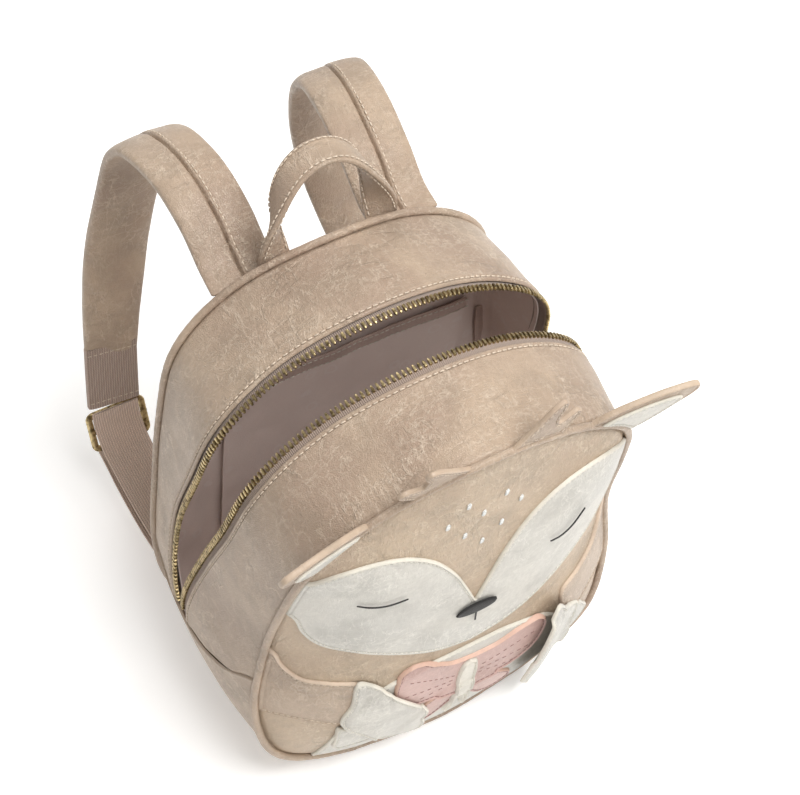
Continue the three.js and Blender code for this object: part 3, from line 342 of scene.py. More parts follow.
class BagForm:
    """Where the bag's seams and skins run, worked out from the tables above."""

    def __init__(self) -> None:
        """Lays the rim's and the zip's tables out as dense smooth lines."""
        half = np.array(RIM)
        other = half[-2:0:-1] * np.array([-1, 1, 1, 1])
        ring = np.vstack([half, other])
        loop = np.vstack([ring[-1:], ring, ring[:2]])
        self.stations = np.arange(0, 16, 0.01)
        dense = through(loop, self.stations + 1)
        dense = np.stack([self._soften(dense[:, k], 18) for k in range(4)], axis=1)
        self.x = dense[:, 0] * HALF_WIDTH
        self.z = np.maximum(dense[:, 1] * (BAG_HEIGHT - BASE_RISE) + BASE_RISE, BASE_RISE)
        self.front, self.back = dense[:, 2] * BAG_DEPTH, dense[:, 3] * BAG_DEPTH
        along = np.stack([np.gradient(self.x), np.gradient(self.z)], axis=1)
        along = unit((np.roll(along, 3, 0) + along + np.roll(along, -3, 0)) / 3)
        self.out_x = self._soften(-along[:, 1], 12)
        self.out_z = self._soften(along[:, 0], 12)
        edge_x, edge_z = self.x - self.out_x * EDGE, self.z - self.out_z * EDGE
        angle = np.arctan2(edge_x, edge_z - FACE_MIDDLE)
        order = np.argsort(angle)
        self.face_angle = angle[order]
        self.face_radius = np.hypot(edge_x, edge_z - FACE_MIDDLE)[order]
        self.face_edge_y = self.front[order]
        self.face_low = np.clip((FACE_MIDDLE - edge_z) / FACE_MIDDLE, 0, 1)[order]
        table = np.array(ZIP_COURSE)
        fine = np.arange(0, 5.3, 0.01)
        self.zip_at = fine
        self.zip_middle = self._soft_open(np.interp(fine, table[:, 0], table[:, 1]), 35)
        self.zip_open = self._soft_open(np.interp(fine, table[:, 0], table[:, 2]), 22)

    @staticmethod
    def _soften(values: Array, reach: float) -> Array:
        """Smooths a closed row of values over about that many steps."""
        count = len(values)
        waves = np.fft.rfftfreq(count) * 2 * math.pi
        return np.fft.irfft(np.fft.rfft(values) * np.exp(-((waves * reach) ** 2) / 2), count)

    @staticmethod
    def _soft_open(values: Array, reach: int) -> Array:
        """Smooths a row of values that is mirrored at its start and flat at its end."""
        kernel = np.exp(-0.5 * (np.arange(-3 * reach, 3 * reach + 1) / reach) ** 2)
        longer = np.concatenate([values[3 * reach : 0 : -1], values, np.full(3 * reach, values[-1])])
        return np.convolve(longer, kernel / kernel.sum(), "valid")

    def read(self, values: Array, station: Array | float) -> Array:
        """A column of the rim at stations, counted either way from the top."""
        place = np.mod(station, 16)
        return np.interp(place, self.stations, values, period=16)

    def depth(self, station: Array | float) -> Array:
        """The way from the front seam to the back seam."""
        return self.read(self.back, station) - self.read(self.front, station)

    @staticmethod
    def from_top(station: Array | float) -> Array:
        """Stations from the top, whichever side they are on."""
        turn = np.mod(station, 16)
        return np.minimum(turn, 16 - turn)

    def swell(self, station: Array, share: Array) -> Array:
        """How far the side stands out between its seams; at the base it drops to the floor."""
        down = self.from_top(station)
        base = smooth(5.8, 6.8, down)
        side = GUSSET_BULGE * blend(0.5, 1, smooth(0, 2, down)) * 4 * share * (1 - share)
        flat = BASE_RISE * smooth(0.02, 0.1, share) * smooth(0.02, 0.1, 1 - share)
        return blend(side, flat, base)

    def side(self, station: Array, share: Array, out: Array | float = 0.0) -> Array:
        """Points of the side.

        Args:
            station: places round the rim.
            share: shares of the way from the front seam to the back seam.
            out: how far outside the skin.

        Returns:
            Points in millimetres.
        """
        station, share, out = np.broadcast_arrays(station, share, out)
        away = self.swell(station, share) + out
        x = self.read(self.x, station) + self.read(self.out_x, station) * away
        z = self.read(self.z, station) + self.read(self.out_z, station) * away
        y = blend(self.read(self.front, station), self.read(self.back, station), share)
        return np.stack([x, y, z], axis=-1)

    def teeth(self, station: Array, side: int, away: float = 0.0) -> Array:
        """The share at which one row of teeth runs, or a line beside it.

        Args:
            station: places round the rim.
            side: -1 for the front row, 1 for the back row.
            away: how far from the mouth.

        Returns:
            Shares of the way back.
        """
        down = self.from_top(station)
        middle = np.interp(down, self.zip_at, self.zip_middle)
        half = np.interp(down, self.zip_at, self.zip_open) * MOUTH_WIDTH / 2
        return middle + side * (half + away) / self.depth(station)

    def boot_station(self, share: Array | float) -> Array:
        """The station of the boot's upper seam at a share of the depth."""
        table = np.array(BOOT_SEAM)
        fine = np.linspace(0, 1, 201)
        line = self._soft_open(np.interp(fine, table[:, 0], table[:, 1]), 9)
        return np.interp(share, fine, line)

    def foot_of(self, edge: Callable[[Array], Array]) -> float:
        """The station at which a line of the side meets the boot's seam."""
        station = ZIP_FOOT
        for _ in range(12):
            station = float(self.boot_station(edge(np.array(station))))
        return station

    def face_share(self, x: Array, z: Array) -> tuple[Array, Array, Array, Array]:
        """How far out on the face a place is.

        Args:
            x: places across.
            z: heights.

        Returns:
            The share of the way to the piping, the radius there, the seam's depth and how low.
        """
        angle = np.arctan2(x, np.asarray(z) - FACE_MIDDLE)
        reads = [
            np.interp(angle, self.face_angle, values, period=2 * math.pi)
            for values in (self.face_radius, self.face_edge_y, self.face_low)
        ]
        return np.hypot(x, np.asarray(z) - FACE_MIDDLE) / reads[0], reads[0], reads[1], reads[2]

    def face_y(self, x: Array, z: Array) -> Array:
        """The face's skin at places of the front view, with its dip into the piping's seam."""
        share, radius, edge_y, low = self.face_share(x, z)
        share = np.minimum(share, 1)
        y = blend(FACE_Y, edge_y, share ** (3 + 0.7 * low))
        dip = 1.2 * hill((1 - share) * radius, 1.5)
        soft = 0.5 * np.sin(x / 27 + 1.1) * np.sin(z / 31 + 0.4) + 0.3 * np.sin(x / 13 - z / 17)
        return y + dip + soft * smooth(0, 0.25, 1 - share)

    def face_normal(self, x: Array, z: Array) -> Array:
        """The face's way out at places of the front view."""
        step = 0.8
        slope_x = (self.face_y(x + step, z) - self.face_y(x - step, z)) / (2 * step)
        slope_z = (self.face_y(x, z + step) - self.face_y(x, z - step)) / (2 * step)
        return unit(np.stack([slope_x, -np.ones_like(slope_x), slope_z], axis=-1))


FORM = BagForm()


# Finishes


@dataclass(frozen=True)
class Wire:
    """A socket of a material's nodes that can stand in a sum."""

    sheet: "NodeSheet"
    socket: bpy.types.NodeSocket

    def _sum(self, operation: str, first: "Wire | float", second: "Wire | float") -> "Wire":
        """Adds one Math node and returns what comes out of it."""
        made = self.sheet.node("ShaderNodeMath", {"operation": operation}, {0: first, 1: second})
        return self.sheet.out(made)

    def __add__(self, other: "Wire | float") -> "Wire":
        """This plus the other."""
        return self._sum("ADD", self, other)

    __radd__ = __add__

    def __mul__(self, other: "Wire | float") -> "Wire":
        """This times the other."""
        return self._sum("MULTIPLY", self, other)

    __rmul__ = __mul__

    def __sub__(self, other: "Wire | float") -> "Wire":
        """This less the other."""
        return self._sum("SUBTRACT", self, other)

    def __rsub__(self, other: float) -> "Wire":
        """The other less this."""
        return self._sum("SUBTRACT", other, self)

    def __pow__(self, power: float) -> "Wire":
        """This to a power."""
        return self._sum("POWER", self, power)

    def between(self, low: float, high: float) -> "Wire":
        """A soft step from 0 at low to 1 at high."""
        made = self.sheet.node(
            "ShaderNodeMapRange",
            {"interpolation_type": "SMOOTHSTEP"},
            {"Value": self, "From Min": low, "From Max": high},
        )
        return self.sheet.out(made)


class NodeSheet:
    """The nodes of one material around its Principled shader."""

    def __init__(self, name: str) -> None:
        """Starts a material with a bare Principled shader."""
        self.material = bpy.data.materials.new(name)
        self.material.use_nodes = True
        self.tree = self.material.node_tree
        self.shader = self.tree.nodes["Principled BSDF"]

    def node(self, kind: str, settings: dict[str, object], values: dict) -> bpy.types.Node:
        """Adds one node.

        Args:
            kind: the node's type.
            settings: its properties, set first; "stops" gives a ramp's places and colours.
            values: numbers, colours or wires for its sockets, by name or number.

        Returns:
            The node.
        """
        made = self.tree.nodes.new(kind)
        for key, value in settings.items():
            if key == "stops":
                ramp = made.color_ramp
                while len(ramp.elements) < len(value):
                    ramp.elements.new(0.5)
                for element, (place, colour) in zip(ramp.elements, value):
                    element.position = place
                    element.color = (*colour, 1.0)
            else:
                setattr(made, key, value)
        for key, value in values.items():
            self.feed(made, key, value)
        return made

    def feed(self, node: bpy.types.Node, key: str | int, value: object) -> None:
        """Sets or links one input of a node."""
        socket = node.inputs[key]
        if isinstance(value, Wire):
            self.tree.links.new(value.socket, socket)
        elif isinstance(value, tuple) and len(value) == 3 and len(socket.default_value) == 4:
            socket.default_value = (*value, 1.0)
        else:
            socket.default_value = value

    def out(self, node: bpy.types.Node, name: str | int = 0) -> Wire:
        """A node's output as a wire."""
        return Wire(self, node.outputs[name])

    def place(self, stretch: tuple[float, float, float] = (1, 1, 1), turn: float = 0.0) -> Wire:
        """The point on the object, in metres, stretched and turned about X for long patterns."""
        where = self.out(self.node("ShaderNodeTexCoord", {}, {}), "Object")
        if stretch == (1, 1, 1) and not turn:
            return where
        values = {"Vector": where, "Scale": stretch, "Rotation": (turn, turn * 0.6, turn * 0.3)}
        return self.out(self.node("ShaderNodeMapping", {}, values))

    def clouds(self, where: Wire, per_metre: float, detail: float = 3.0, twist: float = 0.0) -> Wire:
        """Noise from 0 to 1 with so many hills to a metre."""
        values = {"Vector": where, "Scale": per_metre, "Detail": detail, "Distortion": twist}
        return self.out(self.node("ShaderNodeTexNoise", {}, values), "Fac")

    def ridges(self, where: Wire, scale: float, width: float, detail: float = 4.0) -> Wire:
        """Thin wandering lines, 1 on the line and 0 off it.

        Args:
            where: the coordinates.
            scale: how many clouds there are in a metre.
            width: half the line's width, as a share of a cloud's range.
            detail: how finely the lines fray.

        Returns:
            The lines' strength.
        """
        cloud = self.clouds(where, scale, detail)
        return cloud.between(0.5 - width, 0.5) * (1 - cloud.between(0.5, 0.5 + width))

    def cells(self, where: Wire, per_metre: float, feature: str) -> Wire:
        """The distance into a net of cells with so many to a metre."""
        values = {"Vector": where, "Scale": per_metre}
        made = self.node("ShaderNodeTexVoronoi", {"feature": feature}, values)
        return self.out(made, "Distance")

    def warped(self, where: Wire, per_metre: float, by: float) -> Wire:
        """A point moved about by noise, in metres."""
        values = {"Vector": where, "Scale": per_metre, "Detail": 4.0}
        colour = self.out(self.node("ShaderNodeTexNoise", {}, values), "Color")
        moved = {0: colour, 1: (by, by, by), 2: where}
        return self.out(self.node("ShaderNodeVectorMath", {"operation": "MULTIPLY_ADD"}, moved))

    def tint(self, share: Wire | float, first: object, second: object) -> Wire:
        """A colour between two."""
        settings = {"data_type": "RGBA"}
        values = {0: share, 6: first, 7: second}
        return self.out(self.node("ShaderNodeMix", settings, values), 2)

    def relief(self, height: Wire, millimetres: float, under: Wire | None = None) -> Wire:
        """A bump of so many millimetres, over another one or none."""
        values = {"Height": height, "Distance": millimetres * MM, "Strength": 1.0}
        if under:
            values["Normal"] = under
        return self.out(self.node("ShaderNodeBump", {}, values))

    def dress(self, **values: object) -> bpy.types.Material:
        """Feeds the shader, with an underscore for a space in a socket's name."""
        for key, value in values.items():
            self.feed(self.shader, key.replace("_", " "), value)
        return self.material


Colour = tuple[float, float, float]


@dataclass(frozen=True)
class LeatherFinish:
    """Soft imitation leather with clouded colour, pale creases, painted shade in its folds and a fine
    grain.
    """

    name: str
    base: Colour
    cloud: Colour
    crease: Colour
    creasing: float = 1.0
    grain: float = 1.0
    roughness: float = 0.46

    def material(self) -> bpy.types.Material:
        """The finish as a material."""
        sheet = NodeSheet(self.name)
        where = sheet.place()
        soft = sheet.warped(where, 34.0, 0.011)
        broad = sheet.clouds(where, 11.0, 3.0, 0.6)
        patchy = sheet.clouds(soft, 42.0, 5.0)
        fine = sheet.clouds(where, 420.0, 3.0)
        colour = sheet.tint(broad.between(0.4, 0.64) * 0.9, self.base, self.cloud)
        # A darker tone of the base: the colour of the random darker patches and of the grain, and the
        # painted shade of the folds.
        shade = tuple(value * 0.7 for value in self.base)
        colour = sheet.tint(patchy.between(0.46, 0.7) * 0.6, colour, shade)
        where_veined = sheet.clouds(where, 24.0, 3.0).between(0.42, 0.62)
        where_worn_and_fold_shaded = sheet.clouds(sheet.warped(where, 20.0, 0.02), 30.0, 3.0).between(0.42, 0.62)
        long_way = sheet.warped(sheet.place((1.0, 0.3, 0.42), 0.7), 60.0, 0.008)
        other_way = sheet.warped(sheet.place((0.35, 1.0, 0.5), -0.9), 75.0, 0.007)
        creases = sheet.ridges(soft, 60.0, 0.013, 6.0)
        scratches = sheet.ridges(long_way, 150.0, 0.026, 5.0)
        hairs = sheet.ridges(other_way, 260.0, 0.04, 3.0)
        cracks = 1 - sheet.cells(soft, 130.0, "DISTANCE_TO_EDGE").between(0.0, 0.05)
        marks = creases * where_veined * 0.55 + scratches * (where_worn_and_fold_shaded * 0.5 + 0.16) + (
            hairs * (where_veined * 0.4 + 0.1) + cracks * where_worn_and_fold_shaded * 0.14
        )
        colour = sheet.tint(marks * self.creasing, colour, self.crease)
        # Fold lines in the worn zones, painted darker toward that tone: painted shade in the creases,
        # which the bump also presses in.
        shaded_folds = sheet.ridges(other_way, 70.0, 0.05, 5.0) * where_worn_and_fold_shaded
        colour = sheet.tint(shaded_folds * 0.5 * self.creasing, colour, shade)
        colour = sheet.tint(fine.between(0.35, 0.7) * 0.22, colour, shade)
        pores = sheet.cells(sheet.warped(where, 300.0, 0.0012), 900.0, "DISTANCE_TO_EDGE")
        wrinkle = sheet.clouds(sheet.place((1.0, 0.5, 0.45), 0.5), 210.0, 4.0, 1.2)
        height = pores.between(0.0, 0.2) * 0.3 + wrinkle * (0.7 + where_worn_and_fold_shaded * 0.7)
        height = height + marks * 0.5 + fine * 0.2 - shaded_folds * 0.5
        bump = sheet.relief(height, 0.5 * self.grain)
        bump = sheet.relief(sheet.clouds(soft, 30.0, 3.0), 1.3 * self.grain, bump)
        rough = patchy * 0.16 + fine * 0.08 + (self.roughness - 0.12)
        return sheet.dress(
            Base_Color=colour, Roughness=rough, Normal=bump, Coat_Weight=0.12, Coat_Roughness=0.35,
            Specular_IOR_Level=0.5,
        )


@dataclass(frozen=True)
class ClothFinish:
    """Plain woven cloth: fine crossed threads seen from far off."""

    name: str
    base: Colour
    shade: Colour
    threads: float = 1500.0
    mark: Colour | None = None

    def material(self) -> bpy.types.Material:
        """The finish as a material."""
        sheet = NodeSheet(self.name)
        where = sheet.place()
        weave = sheet.cells(where, self.threads, "F1")
        broad = sheet.clouds(where, 25.0, 3.0)
        colour = sheet.tint(broad.between(0.3, 0.75) * 0.6, self.base, self.shade)
        colour = sheet.tint(weave.between(0.2, 0.8) * 0.35, colour, self.shade)
        if self.mark:
            dots = sheet.cells(sheet.warped(where, 90.0, 0.006), 58.0, "F1")
            ring = dots.between(0.16, 0.2) * (1 - dots.between(0.24, 0.28))
            colour = sheet.tint(ring * 0.22, colour, self.mark)
        bump = sheet.relief(weave, 0.12)
        bump = sheet.relief(sheet.clouds(where, 45.0, 3.0), 1.2, bump)
        return sheet.dress(Base_Color=colour, Roughness=0.82, Normal=bump, Sheen_Weight=0.15)


@dataclass(frozen=True)
class RibbedFinish:
    """Ribbed webbing or tape, its ribs running as its UV map says, in millimetres."""

    name: str
    base: Colour
    shade: Colour
    rib: float = 1.5
    relief: float = 0.5

    def material(self) -> bpy.types.Material:
        """The finish as a material."""
        sheet = NodeSheet(self.name)
        uv = sheet.out(sheet.node("ShaderNodeTexCoord", {}, {}), "UV")
        parts = sheet.node("ShaderNodeSeparateXYZ", {}, {"Vector": uv})
        across, along = sheet.out(parts, "X"), sheet.out(parts, "Y")
        turn = 2 * math.pi
        ribs = sheet.out(
            sheet.node("ShaderNodeMath", {"operation": "SINE"}, {0: across * (turn / self.rib)})
        )
        slant = along * (turn / (self.rib * 0.8)) + across * (turn / (self.rib * 2))
        threads = sheet.out(sheet.node("ShaderNodeMath", {"operation": "SINE"}, {0: slant}))
        high = ribs * 0.5 + threads * 0.28 + 0.5
        fuzz = sheet.clouds(sheet.place(), 900.0, 2.0)
        # The valleys between the ribs are painted darker, toward the shade colour: painted shade in the
        # grooves. The fuzz below adds random darker flecks.
        colour = sheet.tint(high.between(-0.2, 1.0), self.shade, self.base)
        colour = sheet.tint(fuzz.between(0.4, 0.8) * 0.25, colour, self.shade)
        bump = sheet.relief(high + fuzz * 0.3, self.relief)
        return sheet.dress(Base_Color=colour, Roughness=0.85, Normal=bump, Sheen_Weight=0.2)


@dataclass(frozen=True)
class ThreadFinish:
    """Sewing or embroidery thread."""

    name: str
    base: Colour
    roughness: float = 0.55

    def material(self) -> bpy.types.Material:
        """The finish as a material."""
        sheet = NodeSheet(self.name)
        ply = sheet.clouds(sheet.place((1.0, 1.0, 1.0)), 1800.0, 2.0)
        shade = tuple(value * 0.6 for value in self.base)
        colour = sheet.tint(ply.between(0.35, 0.7), self.base, shade)
        bump = sheet.relief(ply, 0.1)
        return sheet.dress(Base_Color=colour, Roughness=self.roughness, Normal=bump)


@dataclass(frozen=True)
class BrassFinish:
    """Antique brass, tarnished darker in soft random clouds."""

    name: str
    bright: Colour
    dark: Colour
    roughness: float = 0.32

    def material(self) -> bpy.types.Material:
        """The finish as a material."""
        sheet = NodeSheet(self.name)
        where = sheet.place()
        tarnish = sheet.clouds(where, 380.0, 4.0)
        colour = sheet.tint(tarnish.between(0.4, 0.66), self.bright, self.dark)
        rough = tarnish * 0.3 + (self.roughness - 0.1)
        bump = sheet.relief(sheet.clouds(where, 1600.0, 2.0), 0.04)
        return sheet.dress(Base_Color=colour, Roughness=rough, Normal=bump, Metallic=1.0)


TAUPE = LeatherFinish(
    "taupe_leather", (0.49, 0.37, 0.268), (0.37, 0.265, 0.195), (0.67, 0.55, 0.43), 0.85, 1.3, 0.4
)
FOREHEAD = LeatherFinish(
    "forehead_leather", (0.59, 0.45, 0.315), (0.48, 0.35, 0.245), (0.76, 0.63, 0.48), 0.9, 2.0, 0.42
)
CREAM = LeatherFinish(
    "cream_leather", (0.62, 0.59, 0.53), (0.55, 0.53, 0.485), (0.8, 0.77, 0.7), 0.7, 0.8
)
CREAM_EDGE = LeatherFinish(
    "cream_edge", (0.72, 0.68, 0.59), (0.66, 0.62, 0.54), (0.78, 0.75, 0.67), 0.3, 0.4
)
PINK = LeatherFinish("pink_leather", (0.57, 0.38, 0.335), (0.52, 0.34, 0.3), (0.68, 0.5, 0.44), 0.5, 0.7)
PINK_EDGE = LeatherFinish(
    "peach_edge", (0.7, 0.46, 0.36), (0.66, 0.43, 0.34), (0.76, 0.54, 0.44), 0.2, 0.4
)
LINING = ClothFinish("lining_cloth", (0.78, 0.66, 0.605), (0.68, 0.555, 0.505), mark=(0.84, 0.78, 0.75))
BINDING = ClothFinish("pocket_binding", (0.58, 0.44, 0.38), (0.34, 0.25, 0.22), 900.0)
WEBBING_FINISH = RibbedFinish("strap_webbing", (0.47, 0.35, 0.285), (0.29, 0.21, 0.17))
# The strap webbing's copy painted about half again lighter: painted light on the webbing below the
# buckles, as if its upturned faces caught more light.
PAINTED_LIGHT_WEBBING = RibbedFinish("low_webbing", (0.74, 0.57, 0.47), (0.52, 0.39, 0.32))
ZIP_TAPE = RibbedFinish("zip_tape", (0.42, 0.32, 0.26), (0.25, 0.19, 0.155), 1.1, 0.35)
ARM_EDGE = LeatherFinish(
    "arm_edge", (0.64, 0.5, 0.38), (0.58, 0.44, 0.34), (0.74, 0.61, 0.48), 0.3, 0.4
)
EAR_EDGE = LeatherFinish(
    "ear_edge", (0.53, 0.41, 0.3), (0.45, 0.335, 0.245), (0.66, 0.55, 0.44), 0.4, 0.5
)
SEWING = ThreadFinish("taupe_thread", (0.72, 0.6, 0.475))
CREAM_THREAD = ThreadFinish("cream_thread", (0.82, 0.78, 0.69))
PINK_THREAD = ThreadFinish("pink_thread", (0.36, 0.2, 0.18))
WHITE_THREAD = ThreadFinish("white_thread", (0.86, 0.86, 0.84), 0.4)
DARK_THREAD = ThreadFinish("dark_thread", (0.018, 0.016, 0.015), 0.55)
BRASS = BrassFinish("antique_brass", (0.58, 0.46, 0.25), (0.17, 0.125, 0.06))


class Wardrobe:
    """Makes each finish once and hands out its material."""

    made: dict[str, bpy.types.Material] = {}

    @classmethod
    def of(cls, finish: object) -> bpy.types.Material:
        """The material of a finish."""
        if finish.name not in cls.made:
            cls.made[finish.name] = finish.material()
        return cls.made[finish.name]


# Making meshes


def turn_to(mode: str) -> None:
    """Enters edit or object mode."""
    bpy.ops.object.mode_set(mode=mode)


def clear_choice() -> None:
    """Leaves object mode with nothing selected."""
    if bpy.context.mode != "OBJECT":
        turn_to("OBJECT")
    bpy.ops.object.select_all(action="DESELECT")


def choose(piece: Piece) -> None:
    """Makes one object the selected and active one."""
    clear_choice()
    piece.select_set(True)
    bpy.context.view_layer.objects.active = piece


def finish_with(piece: Piece, kind: str, **settings: object) -> None:
    """Adds a modifier to a piece and applies it."""
    choose(piece)
    modifier = piece.modifiers.new(kind.lower(), kind)
    for key, value in settings.items():
        setattr(modifier, key, value)
    bpy.ops.object.modifier_apply(modifier=modifier.name)


def shade(piece: Piece, degrees: float = 40.0) -> None:
    """Shades a piece smooth, except over sharp edges."""
    choose(piece)
    bpy.ops.object.shade_smooth_by_angle(angle=math.radians(degrees))


def tidy_normals(piece: Piece) -> None:
    """Merges a piece's doubled points and turns its faces outwards."""
    choose(piece)
    turn_to("EDIT")
    bpy.ops.mesh.select_all(action="SELECT")
    bpy.ops.mesh.remove_doubles(threshold=0.00002)
    bpy.ops.mesh.normals_make_consistent(inside=False)
    turn_to("OBJECT")


def net(name: str, places: Array, uv: Array | None = None) -> Piece:
    """A grid primitive whose points are moved to the given places.

    Args:
        name: the piece's name.
        places: rows of points in millimetres.
        uv: rows of pattern places in millimetres, if the finish follows the surface.

    Returns:
        The piece.
    """
    rows, columns = places.shape[:2]
    clear_choice()
    bpy.ops.mesh.primitive_grid_add(x_subdivisions=columns - 1, y_subdivisions=rows - 1, size=1)
    piece = bpy.context.object
    piece.name = piece.data.name = name
    piece.data.vertices.foreach_set("co", (places * MM).astype(np.float32).ravel())
    if uv is not None:
        corners = np.empty(len(piece.data.loops), np.int32)
        piece.data.loops.foreach_get("vertex_index", corners)
        layer = piece.data.uv_layers.active
        layer.data.foreach_set("uv", uv.reshape(-1, 2)[corners].astype(np.float32).ravel())
    piece.data.update()
    return piece


def mesh_of(name: str, points: Array, faces: Sequence[Sequence[int]]) -> Piece:
    """A piece from points in millimetres and faces."""
    mesh = bpy.data.meshes.new(name)
    mesh.from_pydata((points * MM).tolist(), [], [list(face) for face in faces])
    piece = bpy.data.objects.new(name, mesh)
    bpy.context.collection.objects.link(piece)
    return piece


def settle(piece: Piece, finish: object, slot: str, *nodes: str) -> Piece:
    """Gives a piece its material and body, and hides the CAD nodes that it stands for."""
    if not piece.data.materials:
        piece.data.materials.append(Wardrobe.of(finish))
    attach(piece, "root")
    if nodes:
        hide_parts(*nodes)
    log.info("%s: %d faces", piece.name, len(piece.data.polygons))
    return piece


@dataclass(frozen=True)
class Pattern:
    """One small shape, modelled once, that is repeated along a line."""

    points: Array
    faces: tuple[tuple[int, ...], ...]

    @classmethod
    def taken_from(cls, piece: Piece) -> "Pattern":
        """Reads a modelled piece's shape, in metres, and removes the piece."""
        points = np.array([vertex.co for vertex in piece.data.vertices])
        faces = tuple(tuple(face.vertices) for face in piece.data.polygons)
        bpy.data.objects.remove(piece)
        return cls(points, faces)

    def repeated(self, name: str, places: Array, ways: Array) -> Piece:
        """Copies the shape to many places in one mesh.

        Args:
            name: the piece's name.
            places: the copies' middles in millimetres.
            ways: for each copy its three axes as rows, scaled as the copy is.

        Returns:
            The piece.
        """
        points = np.einsum("pk,nkj->npj", self.points, ways) + places[:, None, :]
        count = len(self.points)
        faces = [
            [corner + copy * count for corner in face]
            for copy in range(len(places))
            for face in self.faces
        ]
        return mesh_of(name, points.reshape(-1, 3), faces)


def model_stitch() -> Pattern:
    """One stitch: a round thread along X that dives at both ends."""
    clear_choice()
    bpy.ops.mesh.primitive_cylinder_add(
        vertices=6, radius=0.5, depth=0.7, rotation=(0, math.pi / 2, 0), end_fill_type="NGON"
    )
    piece = bpy.context.object
    bpy.ops.object.transform_apply(location=False, rotation=True, scale=False)
    turn_to("EDIT")
    for way in (-1, 1):
        bpy.ops.mesh.select_all(action="DESELECT")
        turn_to("OBJECT")
        for face in piece.data.polygons:
            face.select = face.normal.x * way > 0.9
        turn_to("EDIT")
        bpy.ops.mesh.extrude_region_move(TRANSFORM_OT_translate={"value": (0.15 * way, 0, -0.22)})
        bpy.ops.transform.resize(value=(1, 0.45, 0.45))
    turn_to("OBJECT")
    return Pattern.taken_from(piece)


class Thread:
    """Rows of stitches laid along lines on the surface."""

    stitch: Pattern | None = None

    @classmethod
    def run(
        cls,
        name: str,
        lines: Sequence[tuple[Array, Array]],
        finish: object,
        pitch: float = 3.9,
        length: float = 3.0,
        width: float = 0.75,
        closed: bool = False,
    ) -> Piece:
        """Sews rows of stitches.

        Args:
            name: the piece's name.
            lines: for each row its points and the surface's way out there, in millimetres.
            finish: the thread.
            pitch: from one stitch to the next.
            length: of one stitch.
            width: of the thread.
            closed: whether each row meets itself.

        Returns:
            The piece.
        """
        cls.stitch = cls.stitch or model_stitch()
        places, ways = [], []
        for line, normals in lines:
            both = np.hstack([line, normals])
            count = max(int(length_of(line) / pitch), 2)
            steps = np.linalg.norm(np.diff(line, axis=0), axis=1)
            run = np.concatenate([[0], np.cumsum(steps)])
            at = np.linspace(0, run[-1], count, endpoint=not closed)
            read = lambda where: np.stack(
                [np.interp(where, run, both[:, k]) for k in range(6)], axis=1
            )
            here = read(at)
            along = read(np.minimum(at + 0.6, run[-1]))[:, :3] - read(np.maximum(at - 0.6, 0))[:, :3]
            along = unit(along)
            up = unit(here[:, 3:])
            across = unit(np.cross(up, along))
            up = np.cross(along, across)
            places.append(here[:, :3])
            ways.append(np.stack([along * length, across * width, up * width], axis=1))
        piece = cls.stitch.repeated(name, np.vstack(places), np.vstack(ways))
        shade(piece, 70)
        return settle(piece, finish, "leather")


def rounded_band(width: float, thickness: float, count: int, corner: float = 0.8) -> Array:
    """The section of a flat band with soft edges, wound once round.

    Args:
        width: across it.
        thickness: through it.
        count: how many points it gets.
        corner: 1 for an ellipse, less for squarer edges.

    Returns:
        Pairs of places across and through, the last equal to the first.
    """
    angle = np.linspace(0, 2 * math.pi, count)
    across = np.sign(np.cos(angle)) * np.abs(np.cos(angle)) ** corner * width / 2
    through_it = np.sign(np.sin(angle)) * np.abs(np.sin(angle)) ** corner * thickness / 2
    section = np.stack([across, through_it], axis=1)
    section[-1] = section[0]
    return section


@dataclass
class Track:
    """A line in space with a way across and a way through at each of its points."""

    line: Array
    wide: Array
    thick: Array

    @classmethod
    def level(cls, points: Array, count: int) -> "Track":
        """A smooth track whose width stays level across the bag."""
        line = curve_through(points, count)
        tangent = unit(np.gradient(line, axis=0))
        across = np.array([1.0, 0, 0]) - tangent * tangent[:, :1]
        across = unit(across)
        return cls(line, across, unit(np.cross(tangent, across)))

    def point(self, across: float | Array, through_it: float | Array) -> Array:
        """The line moved across and through."""
        across = np.broadcast_to(np.asarray(across, float), len(self.line))[:, None]
        through_it = np.broadcast_to(np.asarray(through_it, float), len(self.line))[:, None]
        return self.line + self.wide * across + self.thick * through_it

    def body(
        self, name: str, sections: Array, uv: bool = False, ends: float = 0.5
    ) -> Piece:
        """A closed body along the track.

        Args:
            name: the piece's name.
            sections: one closed section for all points, or one for each.
            uv: whether its finish follows it.
            ends: how far its rounded ends reach, in millimetres.

        Returns:
            The piece.
        """
        if sections.ndim == 2:
            sections = np.broadcast_to(sections, (len(self.line), *sections.shape))
        rows = (
            self.line[:, None]
            + self.wide[:, None] * sections[..., :1]
            + self.thick[:, None] * sections[..., 1:]
        )
        tangent = unit(np.gradient(self.line, axis=0))
        caps = []
        for index, way in ((0, -1), (-1, 1)):
            middle = rows[index, :-1].mean(0)
            caps.append(
                [
                    middle + (rows[index] - middle) * size + tangent[index] * way * reach * ends
                    for size, reach in ((0.0, 1.0), (0.55, 0.95), (0.85, 0.7), (0.96, 0.35))
                ]
            )
        places = np.concatenate([np.array(caps[0]), rows, np.array(caps[1][::-1])])
        pattern = None
        if uv:
            run = np.concatenate([[0], np.cumsum(np.linalg.norm(np.diff(self.line, axis=0), axis=1))])
            run = np.concatenate([[run[0]] * 4, run, [run[-1]] * 4])
            around = np.concatenate([[sections[0]] * 4, sections, [sections[-1]] * 4])[..., 0]
            pattern = np.stack([around, np.broadcast_to(run[:, None], around.shape)], axis=-1)
        piece = net(name, places, pattern)
        tidy_normals(piece)
        shade(piece, 60)
        return piece


